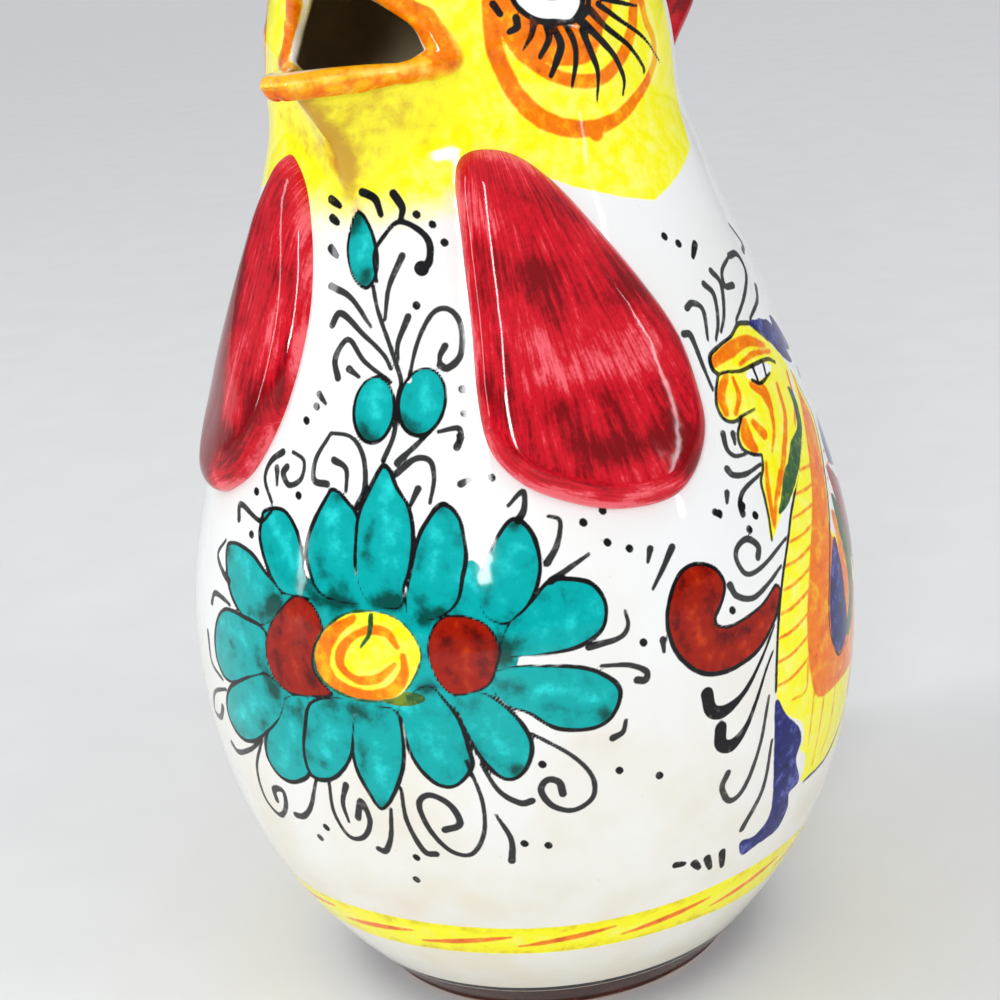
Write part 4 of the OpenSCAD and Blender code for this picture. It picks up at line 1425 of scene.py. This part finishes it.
def paint_face(canvas):
    """The face's yellow, thinning downwards in front, with painted shade along the keel and under the beak.
    """
    angle = degrees_round(canvas.solid)
    edge = np.interp(angle, *np.array(FACE_EDGE).T)
    sharp = np.interp(np.abs(angle), (FACE_THIN_DEGREES, FACE_FULL_DEGREES), (FACE_THIN_SHARE, 1))
    canvas.wash("yellow", (canvas.solid[:, 2] - edge) * sharp)
    chin = (canvas.solid[:, 2] < MOUTH_Z) * np.clip(to_skin(canvas.solid) / CHIN_OUT, 0, 1)
    # painted shade along the keel and under the beak
    canvas.layers["shade"] -= KEEL_SHADE * chin * np.exp(-(canvas.solid[:, 0] / KEEL_SHADE_WIDTH)**2)
    canvas.layers["shade"] -= CHIN_SHADE * chin
    canvas.layers["thin"] += CHIN_THIN * chin


LIP_PAINT = 0.25
LIP_INSIDE = 0.6
LIP_LIGHT = 0.2


def paint_lips(canvas):
    """Orange lips, the lower one lighter and all round; the upper ones' inner edge is bare white glaze."""
    p = canvas.solid
    lips = to_lips(p)
    lower = (p[:, 1] < CORNER[1] - CORNER_R) & (p[:, 2] < MOUTH_Z + LIP_LIFT + LIP_PAINT)
    inside = to_head_outside(p) + np.where(lower, CORNER_R, LIP_INSIDE)
    edge = np.minimum(np.abs(to_gape(p)), lips)
    canvas.wash("orange", np.minimum(LIP_PAINT - lips, inside))
    canvas.wash("white", np.minimum(LIP_PAINT - edge, -inside))
    canvas.layers["shade"] += LIP_LIGHT * lower * (lips < LIP_PAINT)


# Finishes: tin glaze under painted colours; each colour has a dark, a middle and a light
def srgb(r, g, b):
    """A colour given as a screen shows it, as light."""
    return tuple(((c / 255 + 0.055) / 1.055)**2.4 if c > 10 else c / 255 / 12.92 for c in (r, g, b)) + (1,)


PIGMENTS = {
    "yellow": (srgb(208, 160, 0), srgb(255, 248, 8), srgb(255, 252, 128)),
    "orange": (srgb(212, 74, 0), srgb(248, 124, 2), srgb(255, 184, 16)),
    "crimson": (srgb(126, 0, 8), srgb(208, 16, 36), srgb(244, 100, 110)),
    "teal": (srgb(0, 76, 68), srgb(0, 168, 166), srgb(40, 216, 214)),
    "brown": (srgb(92, 4, 0), srgb(158, 24, 0), srgb(198, 58, 4)),
    "navy": (srgb(10, 10, 62), srgb(24, 28, 108), srgb(84, 92, 170)),
    "green": (srgb(14, 50, 26), srgb(44, 92, 48), srgb(120, 140, 40)),
    "white": (srgb(244, 244, 242), srgb(250, 250, 250), srgb(253, 253, 253)),
    "ink": (srgb(8, 8, 9), srgb(20, 19, 21), srgb(52, 52, 57)),
}
MOTTLE = {"yellow": (0.5, 0.75), "orange": (0.32, 0.82), "teal": (0.38, 0.66), "brown": (0.3, 0.74),
          "white": (0.4, 0.7), "ink": (0.2, 0.7)}
FULL_MOTTLE = (0.2, 0.9)
WAVER = {"yellow": 0.12, "orange": 0.22, "ink": 0.12}
FULL_WAVER = 0.25
SOFT = {"orange": 0.28, "yellow": 0.22, "ink": 0.13}
FULL_SOFT = 0.16
GLAZE_WHITE = srgb(243, 244, 243)
GLAZE_CREAM = srgb(233, 225, 207)
GLAZE_STAIN_AND_SHADE = srgb(222, 200, 172)
GLAZE_SPECK = srgb(190, 180, 165)
INSIDE_CLAY = srgb(240, 222, 186)
INSIDE_DARK = srgb(222, 202, 164)
FOOT_GLAZE = (srgb(30, 12, 9), srgb(66, 30, 22), srgb(110, 62, 44))
BARE_CLAY = (srgb(150, 96, 66), srgb(188, 134, 100), srgb(206, 158, 126))
FLOOR_TONES = (srgb(226, 226, 224), srgb(234, 234, 232))
GLAZE_ROUGHNESS, FOOT_ROUGHNESS, FLOOR_ROUGHNESS = 0.06, 0.2, 0.6
GLAZE_SHEEN = 0.23
ROUGH_SHARES = (0.8, 1.4)
BUMP_SHARE, UNEVEN_SHARE = 0.12, 0.03
CRIMSON_SHARES = (0.48, 0.48, 0.1)
FOOT_WAVER = 0.0012

# Noises: size of the features in millimetres, detail, and roughness where it isn't the usual one
USUAL_ROUGHNESS = 0.5
UNEVEN_NOISE, WAVE_NOISE = (0.7, 3), (9, 2)
PATCH_NOISE, STAIN_AND_SHADE_NOISE, SPECK_NOISE = (22, 3), (4, 3), (1.1, 1)
WAVER_NOISE, BRUSH_NOISE, INSIDE_NOISE = (2.2, 2), (3.2, 4, 0.62), (14, 3)
STREAK_NOISE, POOL_NOISE, GRAIN_NOISE = (1.0, 5, 0.68), (13, 3), (0.8, 2)
FOOT_NOISE, FOOT_EDGE_NOISE = (3, 4, 0.6), (6, 2)
FLOOR_NOISE = (30, 3)

# Spans: the two ends of a value, heights in metres, and what they become where that isn't 0 and 1
DARK_SPAN, LIGHT_SPAN = (0.25, 0.55), (0.55, 0.8)
UNEVEN_SPAN = (0.2, 0.8)
PATCH_SPAN = (0.35, 0.7, 0.35, 1.0)
CREAM_SPAN = (0.11, 0.03, 0.25, 1.0)
SPECK_SPAN = (0.78, 0.82, 0, 0.35)
WAVER_SPAN = (0, 1, -1, 1)
THIN_SPAN = (0, 1, 1, 0)
LOAD_SPAN = (0, 1, 0.4, 1.0)
DRY_SPAN = (0.28, 0.45, 0.86, 1.0)
BRUSH_SPAN = (0.25, 0.75)
INSIDE_TONE_SPAN, INSIDE_SPAN = (0.3, 0.7), (0.85, 1.0)
RIM_SPAN = (0.4, 2.4, 0.1, 0.0)
CRIMSON_SPAN = (0.32, 0.8, 0.05, 1.0)
FOOT_SPAN = (0.0008, 0.0016)

# The mix node's sockets for colours, which share their names with others
MIX_FIRST, MIX_SECOND, MIX_RESULT = 6, 7, 2


class Nodes:
    """A tree of shader nodes, built one node at a time."""

    def __init__(self, tree):
        self.tree = tree

    def add(self, kind, **settings):
        node = self.tree.nodes.new(kind)
        for key, value in settings.items():
            setattr(node, key, value)
        return node

    def wire(self, value, socket):
        """Links an output to a socket, or sets the socket where the value is a constant."""
        if isinstance(value, bpy.types.NodeSocket):
            self.tree.links.new(value, socket)
        else:
            socket.default_value = value

    def maths(self, operation, *values):
        node = self.add("ShaderNodeMath", operation=operation)
        for value, socket in zip(values, node.inputs):
            self.wire(value, socket)
        return node.outputs[0]

    def times(self, a, b):
        return self.maths("MULTIPLY", a, b)

    def total(self, first, *others):
        for other in others:
            first = self.maths("ADD", first, other)
        return first

    def span(self, value, low, high, out_low=0.0, out_high=1.0, smooth=True):
        """Maps a span of a value to another span."""
        node = self.add("ShaderNodeMapRange", interpolation_type="SMOOTHSTEP" if smooth else "LINEAR")
        for socket, one in zip(node.inputs, (value, low, high, out_low, out_high)):
            self.wire(one, socket)
        return node.outputs["Result"]

    def blend(self, share, first, second):
        node = self.add("ShaderNodeMix", data_type="RGBA")
        self.wire(share, node.inputs["Factor"])
        self.wire(first, node.inputs[MIX_FIRST])
        self.wire(second, node.inputs[MIX_SECOND])
        return node.outputs[MIX_RESULT]

    def height(self, place):
        split = self.add("ShaderNodeSeparateXYZ")
        self.wire(place, split.inputs[0])
        return split.outputs["Z"]


class Finish(Nodes):
    """A node material."""

    def __init__(self, name):
        self.material = bpy.data.materials.new(name)
        self.material.use_nodes = True
        super().__init__(self.material.node_tree)
        self.shader = self.tree.nodes["Principled BSDF"]
        self.place = self.add("ShaderNodeTexCoord").outputs["Object"]

    def noise(self, size, detail, roughness=USUAL_ROUGHNESS, place=None):
        node = self.add("ShaderNodeTexNoise")
        node.inputs["Scale"].default_value = 1 / (size * MM)
        node.inputs["Detail"].default_value = detail
        node.inputs["Roughness"].default_value = roughness
        self.wire(place or self.place, node.inputs["Vector"])
        return node.outputs["Fac"]

    def layer(self, name):
        return self.add("ShaderNodeAttribute", attribute_name=name).outputs["Fac"]

    def tone(self, pigment, value):
        """A pigment's dark, middle and light along a value from 0 to 1."""
        dark, middle, light = pigment
        lower = self.blend(self.span(value, *DARK_SPAN), dark, middle)
        return self.blend(self.span(value, *LIGHT_SPAN), lower, light)

    def ceramic(self, colour, roughness=GLAZE_ROUGHNESS):
        """Glossy glaze over slightly uneven clay."""
        self.wire(colour, self.shader.inputs["Base Color"])
        self.wire(GLAZE_SHEEN, self.shader.inputs["Specular IOR Level"])
        uneven = self.noise(*UNEVEN_NOISE)
        rough = self.span(uneven, *UNEVEN_SPAN, *(roughness * share for share in ROUGH_SHARES))
        self.wire(rough, self.shader.inputs["Roughness"])
        bump = self.add("ShaderNodeBump")
        self.wire(BUMP_SHARE, bump.inputs["Strength"])
        self.wire(MM, bump.inputs["Distance"])
        wave = self.total(self.noise(*WAVE_NOISE), self.times(uneven, UNEVEN_SHARE))
        self.wire(wave, bump.inputs["Height"])
        self.wire(bump.outputs["Normal"], self.shader.inputs["Normal"])
        return self.material


def white_glaze(f):
    """White tin glaze, creamier in patches and towards the foot, with stains, painted shade and a few specks.
    """
    patch = f.span(f.noise(*PATCH_NOISE), *PATCH_SPAN)
    low = f.span(f.height(f.place), *CREAM_SPAN)
    glaze = f.blend(f.times(patch, low), GLAZE_WHITE, GLAZE_CREAM)
    glaze = f.blend(f.times(f.layer("stain_and_shade"), f.noise(*STAIN_AND_SHADE_NOISE)), glaze, GLAZE_STAIN_AND_SHADE)
    return f.blend(f.span(f.noise(*SPECK_NOISE), *SPECK_SPAN), glaze, GLAZE_SPECK)


def paint_over(f, colour, one, waver, brushed, shade):
    """One painted layer over the colour below it, with a wavering edge and brushed tones."""
    wavering = f.total(f.layer(one), f.times(waver, WAVER.get(one, FULL_WAVER)))
    soft = SOFT.get(one, FULL_SOFT)
    cover = f.span(wavering, -soft, soft)
    if one == "yellow":
        cover = f.times(cover, f.span(f.layer("thin"), *THIN_SPAN, smooth=False))
    if one == "ink":
        cover = f.times(cover, f.span(f.layer("load"), *LOAD_SPAN, smooth=False))
        cover = f.times(cover, f.span(brushed, *DRY_SPAN))
    mottle = f.span(brushed, *BRUSH_SPAN, *MOTTLE.get(one, FULL_MOTTLE), smooth=False)
    return f.blend(cover, colour, f.tone(PIGMENTS[one], f.total(mottle, shade)))


def painted_glaze(name):
    """White glaze with the painted layers over it outside, and plain clay glaze inside."""
    f = Finish(name)
    colour = white_glaze(f)
    waver = f.span(f.noise(*WAVER_NOISE), *WAVER_SPAN, smooth=False)
    brushed = f.noise(*BRUSH_NOISE)
    shade = f.layer("shade")
    for one in COLOURS:
        colour = paint_over(f, colour, one, waver, brushed, shade)
    inside = f.blend(f.span(f.noise(*INSIDE_NOISE), *INSIDE_TONE_SPAN), INSIDE_CLAY, INSIDE_DARK)
    return f.ceramic(f.blend(f.span(f.layer("inside"), *INSIDE_SPAN), colour, inside))


def crimson_glaze():
    """Crimson laid on with long strokes of a wide brush, lighter where it ran thin over an edge."""
    f = Finish("crimson_glaze")
    place = f.add("ShaderNodeCombineXYZ")
    f.wire(f.times(f.layer("brush_across"), MM), place.inputs["X"])
    f.wire(f.times(f.layer("brush_along"), MM), place.inputs["Y"])
    noises = f.noise(*STREAK_NOISE, place.outputs[0]), f.noise(*POOL_NOISE), f.noise(*GRAIN_NOISE)
    parts = [f.times(noise, share) for noise, share in zip(noises, CRIMSON_SHARES)]
    value = f.total(*parts, f.span(f.layer("depth"), *RIM_SPAN), f.layer("shade"))
    return f.ceramic(f.tone(PIGMENTS["crimson"], f.span(value, *CRIMSON_SPAN, smooth=False)))


def foot_glaze():
    """Dark brown glaze round the side, bare clay below."""
    f = Finish("foot_glaze")
    value = f.noise(*FOOT_NOISE)
    height = f.total(f.height(f.place), f.times(f.noise(*FOOT_EDGE_NOISE), FOOT_WAVER))
    glaze = f.blend(f.span(height, *FOOT_SPAN), f.tone(BARE_CLAY, value), f.tone(FOOT_GLAZE, value))
    return f.ceramic(glaze, FOOT_ROUGHNESS)


def floor_finish():
    f = Finish("studio_floor")
    f.wire(f.blend(f.noise(*FLOOR_NOISE), *FLOOR_TONES), f.shader.inputs["Base Color"])
    f.wire(FLOOR_ROUGHNESS, f.shader.inputs["Roughness"])
    return f.material


# The pieces, painted and finished
INSIDE_LIMIT = 0.95
FIGURE_MIRROR_DEGREES = -9.0
EYE_MIRROR_DEGREES = -5.0
SPRIG_MIRROR_DEGREES = (78.0, -70.0)


def canvas_of(piece):
    within = np.zeros(len(piece.data.vertices), np.float32)
    piece.data.attributes["inside"].data.foreach_get("value", within)
    return Canvas(piece, np.flatnonzero(within < INSIDE_LIMIT))


def paint_pitcher(body, head):
    """All painting on the body and the head; later strokes lie over earlier ones."""
    both = canvas_of(body), canvas_of(head)
    body_canvas, head_canvas = both
    paint_round(body_canvas)
    for canvas in both:
        paint_face(canvas)
    paint_lips(head_canvas)
    front = Painter(both)
    # painted shade under the beak
    paint_tints(front, UNDER_BEAK_PAINTED_SHADE)
    # warm stains, and painted shade low on the body
    paint_tints(front, STAINS_AND_SHADE, "stain_and_shade")
    paint_flower(front)
    paint_bud(front)
    paint_scrolls(front)
    paint_bud(Painter([body_canvas], here=False, planes=SPRIG_MIRROR_DEGREES))
    paint_figure(Painter(both, planes=(FIGURE_MIRROR_DEGREES,)))
    paint_back(BackPainter([body_canvas], planes=(FIGURE_MIRROR_DEGREES,)))
    paint_eye(Painter([head_canvas], planes=(EYE_MIRROR_DEGREES,)))
    for canvas in both:
        canvas.store((*COLOURS, *TINTS, "load"))


def paint_wattle(wattle):
    canvas = Canvas(wattle, np.arange(len(wattle.data.vertices)))
    paint_tints(Painter([canvas], planes=(WATTLE_TURN_DEGREES,)), WATTLE_TINTS)
    if wattle.name == "wattle_right":
        # painted shade on its outer half
        paint_far_wattle_shade(canvas)
    canvas.store(("shade",))


body = make_body()
head = make_head()
foot = make_foot()
wattles = [make_wattle("wattle_left", "left_wattle", LEFT_OUTLINE, 1, LEFT_OUTER_SHARES),
           make_wattle("wattle_right", "right_wattle", RIGHT_OUTLINE, -1, RIGHT_OUTER_SHARES)]
comb = make_comb()
handle = make_handle()

paint_pitcher(body, head)
for wattle in wattles:
    paint_wattle(wattle)
for piece in (body, head, *wattles):
    press_in(piece)

body.data.materials.append(painted_glaze("body_glaze"))
head.data.materials.append(painted_glaze("head_glaze"))
foot.data.materials.append(foot_glaze())
red = crimson_glaze()
for piece in (*wattles, comb, handle):
    piece.data.materials.append(red)


# Studio: the photograph's camera, a pale floor, lamps and a sky, in metres and watts
CLIP_START = 0.01
FLOOR_SIZE = 40.0
LIT_PLACE = (0, 0, 0.12)
DAYLIGHT = (0.97, 0.985, 1.0)
HORIZON, ZENITH = srgb(120, 124, 130), srgb(248, 250, 255)
SKY_FULL_UP = 0.7
SKY_STRENGTH = 0.9

# Place, power, width and height of each lamp
LAMPS = {
    "window_left": ((-0.9, -0.85, 0.85), 7.4, 0.1, 1.7),
    "window_front": ((0.48, -1.34, 0.55), 5.4, 0.2, 0.2),
    "window_right": ((1.2, 0, 0.5), 1.0, 0.03, 0.4),
    "fill_right": ((1.3, -0.3, 0.6), 2.4, 0.8, 0.8),
    "gleam_front": ((0.48, -1.34, 0.8), 14, 0.1, 0.9),
}


def make_camera():
    data = bpy.data.cameras.new("photo_camera")
    data.sensor_width = SENSOR_MM
    data.lens = SENSOR_MM * FOCAL_PIXELS / FRAME_PIXELS
    data.clip_start = CLIP_START
    camera = bpy.data.objects.new("photo_camera", data)
    axes = np.eye(4)
    axes[:3] = np.stack([RIGHT, UP, -SIGHT, CAMERA * MM], -1)
    camera.matrix_world = Matrix(axes.tolist())
    bpy.context.scene.collection.objects.link(camera)
    bpy.context.scene.camera = camera


def make_floor():
    bpy.ops.mesh.primitive_plane_add(size=FLOOR_SIZE, location=(0, 0, 0))
    floor = bpy.context.object
    floor.name = "studio_floor"
    floor.data.materials.append(floor_finish())


def make_light(name, place, power, wide, high):
    """A soft studio lamp that faces the pitcher."""
    lamp = bpy.data.lights.new(name, "AREA")
    lamp.shape = "RECTANGLE"
    lamp.size, lamp.size_y = wide, high
    lamp.energy = power
    lamp.color = DAYLIGHT
    light = bpy.data.objects.new(name, lamp)
    light.location = place
    light.rotation_mode = "QUATERNION"
    light.rotation_quaternion = (Vector(LIT_PLACE) - light.location).to_track_quat("-Z", "Y")
    bpy.context.scene.collection.objects.link(light)
    return light


def make_world():
    """Light from all round, brighter above than at the horizon."""
    world = bpy.data.worlds.new("studio")
    bpy.context.scene.world = world
    world.use_nodes = True
    n = Nodes(world.node_tree)
    up = n.height(n.add("ShaderNodeTexCoord").outputs["Generated"])
    sky = n.blend(n.span(up, 0, SKY_FULL_UP, smooth=False), HORIZON, ZENITH)
    background = n.tree.nodes["Background"]
    n.wire(sky, background.inputs["Color"])
    n.wire(SKY_STRENGTH, background.inputs["Strength"])


make_camera()
make_floor()
lights = {name: make_light(name, *lamp) for name, lamp in LAMPS.items()}
lights["fill_right"].visible_glossy = False
lights["gleam_front"].visible_diffuse = False
make_world()
bpy.context.scene.view_settings.view_transform = "Standard"
